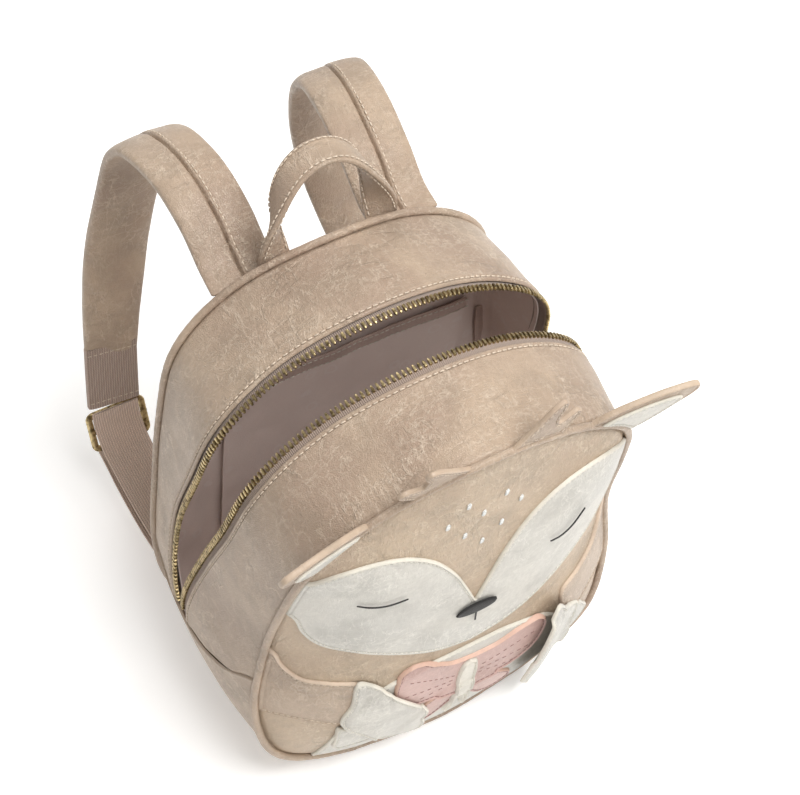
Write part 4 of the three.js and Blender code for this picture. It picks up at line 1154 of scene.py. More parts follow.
def turn_outwards(piece: Piece) -> None:
    """Flips an open sheet whose faces look into the bag."""
    middle = Vector((0, 0, BAG_HEIGHT / 2 * MM))
    facing = sum((face.center - middle).dot(face.normal) * face.area for face in piece.data.polygons)
    if facing < 0:
        choose(piece)
        turn_to("EDIT")
        bpy.ops.mesh.select_all(action="SELECT")
        bpy.ops.mesh.flip_normals()
        turn_to("OBJECT")


def thicken(piece: Piece, millimetres: float) -> None:
    """Gives an open sheet its thickness, inwards."""
    choose(piece)
    turn_to("EDIT")
    bpy.ops.mesh.select_all(action="SELECT")
    bpy.ops.mesh.remove_doubles(threshold=0.00002)
    turn_to("OBJECT")
    turn_outwards(piece)
    finish_with(piece, "SOLIDIFY", thickness=millimetres * MM, offset=-1.0)
    shade(piece, 60)


# The leather shell


Edge = Callable[[Array], Array]


@dataclass
class Shell:
    """The bag's leather: two panels, their pipings, the gussets and the boot."""

    round_steps: int = 360
    side_steps: int = 300
    wall: float = 2.0
    seam_rows: tuple[float, ...] = (0.0, 0.35, 0.8, 1.4, 2.2, 3.4, 5.5)
    roll_rows: tuple[float, ...] = (
        10.0, 7.5, 5.6, 4.4, 3.7, 3.25, 2.9, 2.55, 2.1, 1.6, 1.15, 0.75, 0.42, 0.18, 0.0,
    )

    def build(self) -> None:
        """Makes every piece of the shell."""
        self.panels()
        self.pipings()
        self.gussets()
        self.boot()

    def panels(self) -> None:
        """The front and back panels, each a dish inside its piping."""
        station = np.linspace(0, 16, self.round_steps + 1)
        edge_x = FORM.read(FORM.x, station) - FORM.read(FORM.out_x, station) * (EDGE - 0.9)
        edge_z = FORM.read(FORM.z, station) - FORM.read(FORM.out_z, station) * (EDGE - 0.9)
        radius = np.hypot(edge_x, edge_z - FACE_MIDDLE)
        shares = [np.full_like(station, s) for s in np.linspace(0, 1, 46)[:-1] * 0.94]
        shares += [1 - d / radius for d in (6.0, 4.6, 3.4, 2.5, 1.8, 1.2, 0.7, 0.3, 0.0)]
        share = np.array(shares)
        x = share * edge_x
        z = FACE_MIDDLE + share * (edge_z - FACE_MIDDLE)
        front = np.stack([x, FORM.face_y(x, z), z], axis=-1)
        back_y = blend(BACK_Y, FORM.read(FORM.back, station), share**2)
        back_y = back_y - 1.2 * hill((1 - share) * radius, 1.5)
        back = np.stack([x, back_y, z], axis=-1)
        back[..., 1] += 0.8 * ripple(back, 48, 3.0) * smooth(0, 0.3, 1 - share)
        for name, places, node, finish in (
            ("front_face", front, "front_panel", FOREHEAD),
            ("back_face", back, "back_panel", TAUPE),
        ):
            piece = net(name, places)
            thicken(piece, self.wall)
            settle(piece, finish, "leather", node)

    def pipings(self) -> None:
        """The round cord in leather along each seam."""
        station = np.linspace(0, 16, 2 * self.round_steps + 1)[:, None]
        angle = np.linspace(0, 2 * math.pi, 19)[None, :]
        for name, column in (("front", FORM.front), ("back", FORM.back)):
            pinch = 1 + 0.035 * np.sin(station * 31) * np.sin(station * 12.7 + 1)
            radius = PIPING_RADIUS * pinch
            out = np.cos(angle) * radius
            x = FORM.read(FORM.x, station) + FORM.read(FORM.out_x, station) * out
            z = FORM.read(FORM.z, station) + FORM.read(FORM.out_z, station) * out
            y = FORM.read(column, station) + np.sin(angle) * radius
            piece = net(f"{name}_cord", np.stack([x, y, z], axis=-1))
            tidy_normals(piece)
            shade(piece, 70)
            settle(piece, TAUPE, "leather", f"{name}_piping")

    def strip(
        self,
        name: str,
        edges: tuple[Edge, Edge],
        rows: list[tuple[float, float, float]],
        lift: Callable[[Array, Array, Array], Array],
        crumple: float,
    ) -> Piece:
        """A strip of the side from one end of the boot's seam over the top to the other.

        Args:
            name: the piece's name.
            edges: the shares of its two long edges, as functions of the station.
            rows: its rows, from mm_rows.
            lift: how far it stands out, from the distances to both edges and to its ends.
            crumple: how far its soft wrinkles rise.

        Returns:
            The piece, without its thickness.
        """
        ends = np.array([0.0, 0.4, 0.9, 1.5, 2.3, 3.4, 5.0]) / STATION_LENGTH
        lines, lifts = [], []
        for near, share_of, far in rows:

            def course(s: Array, near: float = near, t: float = share_of, far: float = far) -> Array:
                """This row's share of the depth at each station."""
                first, second, depth = edges[0](s), edges[1](s), FORM.depth(s)
                return first + near / depth + t * (second - first - (near + far) / depth)

            foot = FORM.foot_of(course)
            middle = np.linspace(-foot + ends[-1], foot - ends[-1], self.side_steps)[1:-1]
            station = np.concatenate([-foot + ends, middle, (foot - ends)[::-1]])
            share = course(station)
            depth = FORM.depth(station)
            from_a = (share - edges[0](station)) * depth
            from_b = (edges[1](station) - share) * depth
            to_end = (foot - np.abs(station)) * STATION_LENGTH
            lines.append((station, share))
            lifts.append(lift(from_a, from_b, to_end))
        station = np.array([line[0] for line in lines])
        share = np.array([line[1] for line in lines])
        places = FORM.side(station, share)
        inner = np.minimum(np.abs(share - share[:1]), np.abs(share[-1:] - share)) * FORM.depth(station)
        soft = smooth(1, 14, inner) * crumple
        height = np.array(lifts) + soft * (ripple(places, 42, 1.0) + 0.45 * ripple(places, 17, 2.0))
        places = FORM.side(station, share, height)
        return net(name, places)

    @staticmethod
    def mouth_roll(distance: Array) -> Array:
        """The turned edge beside the zip: round at its rim, pressed in along its stitches."""
        rim = -1.0 * (1 - np.sqrt(np.clip(1 - (1 - np.minimum(distance, 1.1) / 1.1) ** 2, 0, 1)))
        pad = 0.35 * hill(distance - 1.5, 0.8)
        pressed = -0.7 * hill(distance - 2.9, 0.5)
        beyond = 0.3 * hill(distance - 4.4, 1.3)
        return rim + pad + pressed + beyond

    def gussets(self) -> None:
        """The two strips beside the zip, each with a stitched rolled edge."""
        front = (lambda s: 1.6 / FORM.depth(s), lambda s: FORM.teeth(s, -1, TAPE_WIDTH - 1.2))
        back = (lambda s: 1 - 1.6 / FORM.depth(s), lambda s: FORM.teeth(s, 1, TAPE_WIDTH - 1.2))
        rows = mm_rows(self.seam_rows, 22, self.roll_rows)

        def lift(seam: Array, mouth: Array, end: Array) -> Array:
            """How far the strip stands out, by the distances to its seam, mouth and end."""
            seam, mouth = np.abs(seam), np.abs(mouth)
            dip = -1.5 * hill(seam, 1.5) - 0.9 * hill(end, 1.1)
            return dip + self.mouth_roll(mouth) + 0.25 * hill(end - 2.6, 1.4)

        for name, edges, sign in (("front", front, 1), ("back", back, -1)):
            signed = [(sign * near, t, sign * far) for near, t, far in rows]
            piece = self.strip(f"{name}_side", edges, signed, lift, 0.75)
            thicken(piece, self.wall)
            settle(piece, TAUPE, "leather", f"{name}_gusset")
            way = 1 if sign < 0 else -1
            foot = ZIP_FOOT - 0.03
            station = np.linspace(-foot, foot, 700)
            share = FORM.teeth(station, way, TAPE_WIDTH - 1.2 + 2.9)
            line = FORM.side(station, share, 0.05)
            normals = unit(FORM.side(station, share, 1.0) - FORM.side(station, share, 0.0))
            Thread.run(f"{name}_zip_stitches", [(line, normals)], SEWING, 3.7, 2.9, 0.9)

    def boot(self) -> None:
        """The piece that wraps the base and the lower sides."""
        near = [(d, 0.0, 0.0) for d in self.seam_rows]
        far = [(0.0, 1.0, d) for d in reversed(self.seam_rows)]
        middle = [(self.seam_rows[-1], t, self.seam_rows[-1]) for t in np.linspace(0, 1, 42)[1:-1]]
        ends = np.array([0.0, 0.3, 0.7, 1.2, 1.9, 2.8, 4.4]) / STATION_LENGTH
        stations, shares, lifts = [], [], []
        for a, t, b in near + middle + far:
            first = FORM.foot_of(
                lambda s: (1.6 + a) / FORM.depth(s) + t * (1 - (3.2 + a + b) / FORM.depth(s))
            )
            station = np.concatenate(
                [
                    first + ends,
                    np.linspace(first + ends[-1], 16 - first - ends[-1], 220)[1:-1],
                    (16 - first - ends)[::-1],
                ]
            )
            depth = FORM.depth(station)
            share = (1.6 + a) / depth + t * (1 - (3.2 + a + b) / depth)
            edge = np.minimum(share, 1 - share) * depth - 1.6
            end = np.minimum(station - first, 16 - first - station) * STATION_LENGTH
            dip = -1.5 * hill(edge, 1.5) * (1 - 0.6 * smooth(6, 6.8, FORM.from_top(station)))
            roll = -0.8 * hill(end, 0.5) + 0.55 * hill(end - 1.3, 1.1)
            stations.append(station)
            shares.append(share)
            lifts.append(dip + roll)
        station, share, height = np.array(stations), np.array(shares), np.array(lifts)
        flat = FORM.side(station, share)
        inner = np.minimum(share, 1 - share) * FORM.depth(station)
        soft = smooth(2, 14, inner) * (1 - smooth(5.6, 6.6, FORM.from_top(station)))
        places = FORM.side(station, share, height + 0.7 * soft * ripple(flat, 40, 4.0))
        places[..., 2] = np.maximum(places[..., 2], 0.0)
        piece = net("boot_wrap", places)
        thicken(piece, self.wall)
        settle(piece, TAUPE, "leather", "boot")


# The zip


@dataclass
class Zip:
    """The open zip: ribbed tape under the leather, brass teeth, and the slider at its foot."""

    pitch: float = 2.9
    tooth_width: float = 4.0
    tooth_length: float = 1.5
    tooth_height: float = 2.1

    def build(self) -> None:
        """Makes the tapes, the teeth and the slider."""
        tooth = self.model_tooth()
        for name, side in (("front", -1), ("back", 1)):
            self.tape(name, side)
            self.teeth(name, side, tooth)
        self.slider()

    def tape(self, name: str, side: int) -> None:
        """The ribbed tape from under the leather to the teeth."""
        foot = ZIP_FOOT - 0.02
        station = np.linspace(-foot, foot, 520)
        away = np.array([9.0, 7.5, 6.2, 5.2, 4.2, 3.2, 2.4, 1.8, 1.2, 0.6, 0.1])
        drop = np.array([-3.4, -3.0, -2.4, -1.9, -1.6, -1.45, -1.35, -1.1, -0.9, -0.9, -1.3])
        share = np.array([FORM.teeth(station, side, value) for value in away])
        places = FORM.side(station, share, drop[:, None])
        run = np.concatenate([[0], np.cumsum(np.linalg.norm(np.diff(places[5], axis=0), axis=1))])
        uv = np.stack(np.broadcast_arrays(run[None, :], away[:, None]), axis=-1)
        piece = net(f"{name}_tape", places, uv)
        thicken(piece, 0.9)
        settle(piece, ZIP_TAPE, "ribbed_webbing", f"zip_tape_{name}")

    def model_tooth(self) -> Pattern:
        """One brass tooth: a clamped body with a round head, its length along Y."""
        clear_choice()
        bpy.ops.mesh.primitive_cube_add(size=1)
        piece = bpy.context.object
        turn_to("EDIT")
        bpy.ops.mesh.select_all(action="DESELECT")
        turn_to("OBJECT")
        for face in piece.data.polygons:
            face.select = face.normal.y > 0.9
        turn_to("EDIT")
        bpy.ops.mesh.inset(thickness=0.12)
        bpy.ops.mesh.extrude_region_move(TRANSFORM_OT_translate={"value": (0, 0.34, 0)})
        bpy.ops.transform.resize(value=(0.8, 1, 0.8))
        turn_to("OBJECT")
        finish_with(piece, "BEVEL", width=0.13, segments=2, limit_method="ANGLE")
        return Pattern.taken_from(piece)

    def teeth(self, name: str, side: int, tooth: Pattern) -> None:
        """A row of teeth along one edge of the mouth."""
        foot = ZIP_FOOT - 0.04
        station = np.linspace(-foot, foot, 1600)
        middle = FORM.side(station, FORM.teeth(station, side, 0.7), -0.6)
        inward = FORM.side(station, FORM.teeth(station, side, -0.7), -0.6) - middle
        up = FORM.side(station, FORM.teeth(station, side, 0.7), 0.4) - middle
        line = np.hstack([middle, unit(inward), unit(up)])
        run = np.concatenate([[0], np.cumsum(np.linalg.norm(np.diff(middle, axis=0), axis=1))])
        start = self.pitch / 2 if side > 0 else self.pitch
        at = np.arange(start, run[-1] - 1, self.pitch)
        here = np.stack([np.interp(at, run, line[:, k]) for k in range(9)], axis=1)
        across, above = unit(here[:, 3:6]), unit(here[:, 6:])
        along = unit(np.cross(across, above))
        above = np.cross(along, across)
        ways = np.stack(
            [along * self.tooth_length, across * self.tooth_width / 1.34, above * self.tooth_height],
            axis=1,
        )
        piece = tooth.repeated(f"{name}_teeth", here[:, :3], ways)
        shade(piece, 35)
        settle(piece, BRASS, "antique_brass", f"zip_teeth_{name}")

    def slider(self) -> None:
        """The slider's body with its two flared lips, its bridge and its pull."""
        low, high = (np.array(corner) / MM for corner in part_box("zip_slider"))
        station = ZIP_FOOT - 13 / STATION_LENGTH
        share = float(FORM.teeth(np.array(station), 1) + FORM.teeth(np.array(station), -1)) / 2
        base = FORM.side(np.array(station), np.array(share), 1.4)
        out = unit(FORM.side(np.array(station), np.array(share), 2.4) - base)
        down = unit(FORM.side(np.array(station + 0.1), np.array(share), 1.4) - base)
        across = np.cross(out, down)
        down = np.cross(across, out)

        def put(piece: Piece) -> Piece:
            """Moves a piece modelled at the origin onto the zip."""
            turn = Matrix(np.stack([across, down, out], axis=1).tolist()).to_4x4()
            choose(piece)
            piece.matrix_world = Matrix.Translation((base * MM).tolist()) @ turn
            bpy.ops.object.transform_apply(location=True, rotation=True, scale=True)
            shade(piece, 35)
            return piece

        clear_choice()
        bpy.ops.mesh.primitive_cube_add(size=1, location=(0, 0, 0.0013))
        body = bpy.context.object
        body.name = "slider_body"
        bpy.ops.transform.resize(value=(0.0085, 0.0125, 0.0042))
        bpy.ops.object.transform_apply(location=True, rotation=False, scale=True)
        turn_to("EDIT")
        bpy.ops.mesh.subdivide(number_cuts=3)
        turn_to("OBJECT")
        for vertex in body.data.vertices:
            place = vertex.co
            place.x *= 1.0 - 0.32 * smooth(0.0, 0.0065, place.y) + 0.16 * smooth(0.0, 0.0065, -place.y)
            if abs(place.z - 0.0013) < 0.001 and abs(place.x) > 0.003:
                place.x *= 0.8
        finish_with(body, "BEVEL", width=0.0005, segments=3, limit_method="ANGLE")
        settle(put(body), BRASS, "antique_brass", "zip_slider")
        angle = np.linspace(0, math.pi, 24)
        arch = np.stack([0 * angle, -4.2 * np.cos(angle), 3.2 + 1.9 * np.sin(angle)], axis=1)
        side = np.tile([1.0, 0, 0], (24, 1))
        track = Track(arch, side, np.cross(unit(np.gradient(arch, axis=0)), side))
        settle(put(track.body("slider_bridge", rounded_band(2.4, 1.1, 13))), BRASS, "antique_brass")
        length = 21.0
        place = np.linspace(0, 1, 60)
        ring = np.stack([0 * place, 2.0 + place * length, 4.2 + 0.9 * np.sin(place * 2.2)], axis=1)
        width = 3.6 + 2.2 * smooth(0.1, 0.5, place) - 1.2 * smooth(0.75, 1.0, place)
        sections = np.array([rounded_band(w, 1.3, 17, 0.6) for w in width])
        side = np.tile([1.0, 0, 0], (60, 1))
        track = Track(ring, side, np.cross(unit(np.gradient(ring, axis=0)), side))
        settle(put(track.body("slider_pull", sections)), BRASS, "antique_brass")
        log.info("slider box %s %s", low.round(1), high.round(1))


# The inside


@dataclass
class Inside:
    """The lining of both halves, the pocket with its bound top, and the tape beside it."""

    steps: int = 300
    pocket_width: float = 150.0
    pocket_top: float = 190.0
    pocket_height: float = 116.0

    def build(self) -> None:
        """Makes the lining and the pocket."""
        self.lining("front", -1)
        self.lining("back", 1)
        self.pocket()

    def wall_y(self, x: Array, z: Array, side: int) -> Array:
        """The depth of the lining's front or back wall."""
        share, _, _, _ = FORM.face_share(x, z)
        share = np.minimum(share, 1)
        if side < 0:
            return FORM.face_y(x, z) + LINING_DEPTH
        angle = np.arctan2(x, np.asarray(z) - FACE_MIDDLE)
        order = np.argsort(np.arctan2(FORM.x, FORM.z - FACE_MIDDLE))
        sorted_angle = np.arctan2(FORM.x, FORM.z - FACE_MIDDLE)[order]
        edge = np.interp(angle, sorted_angle, FORM.back[order], period=2 * math.pi)
        return blend(BACK_Y, edge, share**2) - LINING_DEPTH

    def lining(self, word: str, side: int) -> None:
        """One bowl of the lining, from its wall round the corner to the zip."""
        station = np.linspace(0, 16, self.steps + 1)
        inset = LINING_DEPTH + 1.0
        edge_x = FORM.read(FORM.x, station) - FORM.read(FORM.out_x, station) * inset
        edge_z = FORM.read(FORM.z, station) - FORM.read(FORM.out_z, station) * inset
        rows = []
        for share in np.linspace(0, 0.96, 26):
            x, z = share * edge_x, FACE_MIDDLE + share * (edge_z - FACE_MIDDLE)
            rows.append(np.stack([x, self.wall_y(x, z, side), z], axis=-1))
        depth = FORM.depth(station)
        down = FORM.from_top(station)
        meeting = np.interp(ZIP_FOOT, FORM.zip_at, FORM.zip_middle) + side * 0.3 / depth
        mouth = blend(FORM.teeth(station, side, 5.0), meeting, smooth(ZIP_FOOT - 0.7, ZIP_FOOT, down))
        corner = (6.0 + LINING_DEPTH) / depth
        corner = corner if side < 0 else 1 - corner
        for share in np.linspace(0, 1, 26):
            rows.append(FORM.side(station, blend(corner, mouth, share), -LINING_DEPTH))
        places = np.array(rows)
        index = np.arange(len(places))[:, None]
        loose = smooth(0, 10, len(places) - 1 - index) * 2.0
        inward = np.array([0, 0, FACE_MIDDLE]) - places
        inward[..., 1] = -places[..., 1]
        push = loose * (0.5 + 0.5 * ripple(places, 34, 6.0 + side))
        push = push + loose * 0.4 * ripple(places, 14, 8.0)
        places = places + unit(inward) * np.maximum(push, 0)[..., None]
        piece = net(f"{word}_lining", places)
        thicken(piece, 0.6)
        settle(piece, LINING, "lining_fabric", f"lining_{word}")

    def pocket(self) -> None:
        """The pocket on the back wall, its pinkish binding, and the tape beside it."""
        across = np.linspace(-1, 1, 90)[None, :] * self.pocket_width / 2
        rise = np.linspace(0, 1, 60)[:, None]
        x = np.broadcast_to(across, (60, 90)) + 10 * rise
        z = self.pocket_top - self.pocket_height * (1 - rise) + 2.0 * np.cos(across / 30) * rise
        x, z = np.broadcast_arrays(x, z)
        y = self.wall_y(x, z, 1) - 3.2
        y = y - 1.6 * rise**3 * np.cos(across / self.pocket_width * math.pi)
        places = np.stack([x, y, z], axis=-1)
        places[..., 1] -= 0.7 * np.abs(ripple(places, 26, 9.0))
        piece = net("pocket_sheet", places)
        thicken(piece, 0.8)
        settle(piece, LINING, "lining_fabric", "inner_pocket")
        top = places[-1] + np.array([0, -0.3, 0])
        wide = np.tile([0.0, 0, 1.0], (90, 1))
        thick = np.tile([0.0, -1.0, 0], (90, 1))
        track = Track(top, wide, thick)
        binding = track.body("pocket_binding", rounded_band(9.0, 2.0, 21, 0.5))
        settle(binding, BINDING, "lining_fabric")
        for offset, word in ((-3.2, "low"), (3.2, "high")):
            line = top + np.array([0, -1.15, offset])
            Thread.run(f"binding_stitches_{word}", [(line, thick)], CREAM_THREAD, 3.4, 2.6, 0.5)
        spot = np.linspace(0, 1, 30)
        strip_z = 176 - 44 * spot
        strip_x = 97 + 3 * spot
        strip_y = self.wall_y(strip_x, strip_z, 1) - 2.6
        line = np.stack([strip_x, strip_y, strip_z], axis=-1)
        tape = Track(line, np.tile([1.0, 0, 0], (30, 1)), np.tile([0.0, -1.0, 0], (30, 1)))
        piece = tape.body("seam_tape", rounded_band(7.0, 1.2, 17, 0.5))
        settle(piece, BINDING, "lining_fabric")


# Cut leather leaves


@dataclass
class Leaf:
    """A leaf cut from sheet leather, with a rounded rim and a pressed line for its stitches."""

    outline: Array
    grain_step: float = 2.6
    rim: float = 1.1
    stitch_inset: float = 2.0
    points: Array = field(init=False)
    faces: list[list[int]] = field(init=False)
    inside: Array = field(init=False)

    def __post_init__(self) -> None:
        """Fills the outline with points that follow its rim, and joins them."""
        ring = self.outline
        if self.area(ring) < 0:
            ring = self.outline = ring[::-1]
        tangent = unit(np.roll(ring, -1, 0) - np.roll(ring, 1, 0))
        inward = np.stack([-tangent[:, 1], tangent[:, 0]], axis=1)
        extra = []
        for depth in (0.12, 0.3, 0.6, 1.0, 1.45, 1.75, 2.0, 2.25, 2.6, 3.3):
            places = ring + inward * depth
            extra.append(places[self.distance(places) > depth * 0.93])
        low, high = ring.min(0), ring.max(0)
        step = self.grain_step
        across, up = np.meshgrid(np.arange(low[0], high[0], step), np.arange(low[1], high[1], step))
        across = across + (np.arange(across.shape[0]) % 2)[:, None] * step / 2
        places = np.stack([across.ravel(), up.ravel()], axis=1)
        away = self.distance(places)
        extra.append(places[self.holds(places) & (away > 4.0)])
        loose = np.vstack(extra)
        flat = np.vstack([ring, loose])
        count = len(ring)
        edges = [(k, (k + 1) % count) for k in range(count)]
        made = delaunay_2d_cdt([Vector(p) for p in flat.tolist()], edges, [], 1, 1e-4)
        self.points = np.array([tuple(p) for p in made[0]])
        self.faces = [list(face) for face in made[2]]
        self.inside = np.maximum(self.distance(self.points), 0)

    @staticmethod
    def area(ring: Array) -> float:
        """A ring's area, below zero if it runs clockwise."""
        after = np.roll(ring, -1, 0)
        return float((ring[:, 0] * after[:, 1] - after[:, 0] * ring[:, 1]).sum() / 2)

    def distance(self, places: Array) -> Array:
        """How far places are from the outline."""
        start, end = self.outline, np.roll(self.outline, -1, 0)
        way = end - start
        length = np.maximum((way**2).sum(1), 1e-9)
        result = np.empty(len(places))
        for first in range(0, len(places), 4000):
            some = places[first : first + 4000, None, :]
            share = np.clip(((some - start) * way).sum(-1) / length, 0, 1)
            near = start + way * share[..., None]
            result[first : first + 4000] = np.sqrt(((some - near) ** 2).sum(-1).min(1))
        return result

    def holds(self, places: Array) -> Array:
        """Whether places lie inside the outline."""
        start, end = self.outline, np.roll(self.outline, -1, 0)
        x, y = places[:, :1], places[:, 1:]
        crosses = (start[:, 1] > y) != (end[:, 1] > y)
        rise = np.where(np.abs(end[:, 1] - start[:, 1]) < 1e-12, 1e-12, end[:, 1] - start[:, 1])
        at = start[:, 0] + (y - start[:, 1]) / rise * (end[:, 0] - start[:, 0])
        return (crosses & (x < at)).sum(1) % 2 == 1

    def signed(self, places: Array) -> Array:
        """The distance inside the outline, below zero outside it."""
        return np.where(self.holds(places), 1, -1) * self.distance(places)

    def crown(self, thickness: float, edge: float = 0.4, stitched: bool = True) -> Array:
        """The leaf's height over its points: a round rim, a raised edge, a pressed line."""
        d = self.inside
        rim = 1 - np.sqrt(np.clip(1 - (1 - np.minimum(d, self.rim) / self.rim) ** 2, 0, 1))
        height = thickness * (1 - 0.75 * rim) + edge * hill(d - 1.1, 0.55)
        if stitched:
            height = height - 0.35 * hill(d - self.stitch_inset, 0.38)
        return height + 0.25 * smooth(2, 9, d)

    def body(self, name: str, top: Array, bottom: Array) -> Piece:
        """The closed leaf between two skins over its points."""
        count = len(self.points)
        seen: dict[tuple[int, int], int] = {}
        for face in self.faces:
            for a, b in zip(face, face[1:] + face[:1]):
                seen[(a, b)] = seen.get((a, b), 0) + 1
        border = [(a, b) for a, b in seen if (b, a) not in seen]
        faces = [list(face) for face in self.faces]
        faces += [[corner + count for corner in reversed(face)] for face in self.faces]
        faces += [[b, a, a + count, b + count] for a, b in border]
        piece = mesh_of(name, np.vstack([top, bottom]), faces)
        tidy_normals(piece)
        shade(piece, 50)
        return piece

    def edged(self, piece: Piece, finish: object, width: float = 1.0) -> None:
        """Gives the faces along the leaf's edge another leather."""
        piece.data.materials.append(Wardrobe.of(finish))
        away = np.tile(self.inside, 2)
        for face in piece.data.polygons:
            if away[list(face.vertices)].mean() < width:
                face.material_index = 1

    def stitch_line(self, inset: float) -> Array:
        """A line inside the outline, at an even distance from it."""
        ring = spaced(np.vstack([self.outline, self.outline[:1]]), 900)[:-1]
        tangent = unit(np.roll(ring, -2, 0) - np.roll(ring, 2, 0))
        inward = np.stack([-tangent[:, 1], tangent[:, 0]], axis=1)
        line = ring + inward * inset
        return line[self.distance(line) > inset * 0.94]


def smooth_ring(rows: Sequence[tuple[float, float]], count: int = 260) -> Array:
    """A smooth closed outline through charted places, in millimetres."""
    points = np.array(rows) * [HALF_WIDTH, BAG_HEIGHT]
    return curve_through(points, count, closed=True)


def twin_ring(
    half: Sequence[tuple[float, float]],
    centre: tuple[float, float] = (0, 0),
    turn: float = 0.0,
    count: int = 150,
) -> Array:
    """An outline made of one charted half and its mirror image.

    Args:
        half: places from the top to the foot, on the right.
        centre: where its own origin goes.
        turn: how far it is turned, in degrees.
        count: how many points each half gets.

    Returns:
        The ring in millimetres.
    """
    right = curve_through(np.array(half) * [HALF_WIDTH, BAG_HEIGHT], count)
    left = right[-2:0:-1] * [-1, 1]
    ring = np.vstack([right, left])
    return ring @ spin(math.radians(turn)) + centre


def turned_ring(
    rows: Sequence[tuple[float, float]], pivot: tuple[float, float], turn: float, side: Side
) -> Array:
    """A charted outline swung about a pivot, and mirrored on the left."""
    ring = smooth_ring(rows)
    ring = (ring - pivot) @ spin(math.radians(turn)) + pivot
    return ring * [side.value, 1]


# The fawn


@dataclass
class Fawn:
    """The fawn's face, arms, hoofs and bow, sewn on the front panel."""

    thickness: float = 1.4
    step: float = 1.55
    bow: tuple[float, float] = (2.0, 77.0)
    wrist: tuple[float, float] = (68.0, 94.0)
    bow_tilt: float = -7.0
    nose_size: tuple[float, float, float] = (159.0, 5.2, 11.8)
    hoof_swing: dict[Side, float] = field(
        default_factory=lambda: {Side.LEFT: 0.0, Side.RIGHT: 26.0}
    )
    hoof_curl: dict[Side, float] = field(default_factory=lambda: {Side.LEFT: 1.5, Side.RIGHT: 9.0})
    laid: list[Leaf] = field(default_factory=list)

    def build(self) -> None:
        """Lays the leaves one over another, then embroiders the face."""
        cream = (CREAM, "cream_leather")
        self.lay("cheeks", twin_ring(MASK_HALF), *cream, "cheek_mask", CREAM_THREAD, CREAM_EDGE)
        self.lay("belly_leaf", twin_ring(BELLY_HALF), *cream, "belly", CREAM_THREAD, CREAM_EDGE)
        for side in Side:
            arm = turned_ring(ARM, self.wrist, 0, side)
            name = f"arm_{side.word}"
            self.lay(f"{side.word}_arm", arm, TAUPE, "leather", name, SEWING, ARM_EDGE)
        for side in Side:
            low = turned_ring(LOWER_HOOF, self.wrist, self.hoof_swing[side], side)
            name = f"hoof_{side.word}_lower"
            self.lay(f"{side.word}_low_hoof", low, *cream, name, CREAM_THREAD, CREAM_EDGE)
        tails = twin_ring(TAILS_HALF, self.bow, 0)
        pink = (PINK, "pink_leather")
        self.lay("tails", tails, *pink, "bow_tails", PINK_THREAD, PINK_EDGE)
        loops = twin_ring(BOW_HALF, self.bow, self.bow_tilt)
        self.lay("loops", loops, *pink, "bow_loops", PINK_THREAD, PINK_EDGE, 0.9)
        self.bow_lines()
        for side in Side:
            hoof = turned_ring(HOOF, self.wrist, self.hoof_swing[side], side)
            name = f"hoof_{side.word}"
            curl = self.hoof_curl[side]
            self.lay(f"{side.word}_hoof", hoof, *cream, name, CREAM_THREAD, CREAM_EDGE, curl=curl)
        knot = twin_ring(KNOT_HALF, self.bow, 0)
        self.lay("knot", knot, CREAM_EDGE, "cream_leather", "bow_knot", CREAM_THREAD, edge=0.9)
        self.eyes()
        self.nose()
        self.freckles()

    def ground(self, places: Array, above: int | None = None) -> Array:
        """How high the leaves laid so far lift a new one."""
        height = np.zeros(len(places))
        for leaf in self.laid[:above]:
            height = height + self.step * smooth(-3.2, 0.4, leaf.signed(places))
        return height

    def skin(self, places: Array, height: Array) -> Array:
        """Points over the face, pushed out along its normals."""
        x, z = places[:, 0], places[:, 1]
        base = np.stack([x, FORM.face_y(x, z), z], axis=-1)
        return base + FORM.face_normal(x, z) * height[:, None]

    def lay(
        self,
        name: str,
        ring: Array,
        finish: object,
        slot: str,
        node: str,
        thread: object,
        rim: object | None = None,
        edge: float = 0.4,
        curl: float = 0.0,
    ) -> None:
        """Cuts one leaf, lays it over those before it and sews it down.

        Args:
            name: the piece's name.
            ring: its outline in the front view.
            finish: its leather.
            slot: not used.
            node: the CAD node it stands for.
            thread: its stitches.
            rim: the leather of its edge, if that is another one.
            edge: how far its rim is raised.
            curl: how far its free end stands off the bag.
        """
        share, radius, _, _ = FORM.face_share(ring[:, 0], ring[:, 1])
        inner = 1 - 0.3 / radius
        keep = np.minimum(1, inner / np.maximum(share, 1e-6))[:, None]
        middle = np.array([0, FACE_MIDDLE])
        ring = spaced(np.vstack([middle + (ring - middle) * keep] * 2), 2 * 420)[: 420]
        leaf = Leaf(ring)
        rise = self.ground(leaf.points) + 0.15 + self.curled(leaf.points, curl)
        top = self.skin(leaf.points, rise + leaf.crown(self.thickness, edge))
        bottom = self.skin(leaf.points, np.maximum(rise - 0.4, 0.05))
        piece = leaf.body(name, top, bottom)
        settle(piece, finish, slot, node)
        if rim:
            leaf.edged(piece, rim)
        line = leaf.stitch_line(leaf.stitch_inset)
        on_face = FORM.face_share(line[:, 0], line[:, 1])[0] < 0.975
        runs = self.split(line, on_face)
        rows = []
        for run in runs:
            lift = self.ground(run) + self.thickness + 0.12 + self.curled(run, curl)
            rows.append((self.skin(run, lift), FORM.face_normal(run[:, 0], run[:, 1])))
        if rows:
            Thread.run(f"{name}_stitches", rows, thread, 3.3, 2.5, 0.6)
        self.laid.append(leaf)

    def curled(self, places: Array, curl: float) -> Array:
        """How far a hoof's free end stands off, towards the bag's middle."""
        away = self.wrist[0] + 8 - np.abs(places[:, 0])
        return curl * smooth(0, 30, away)

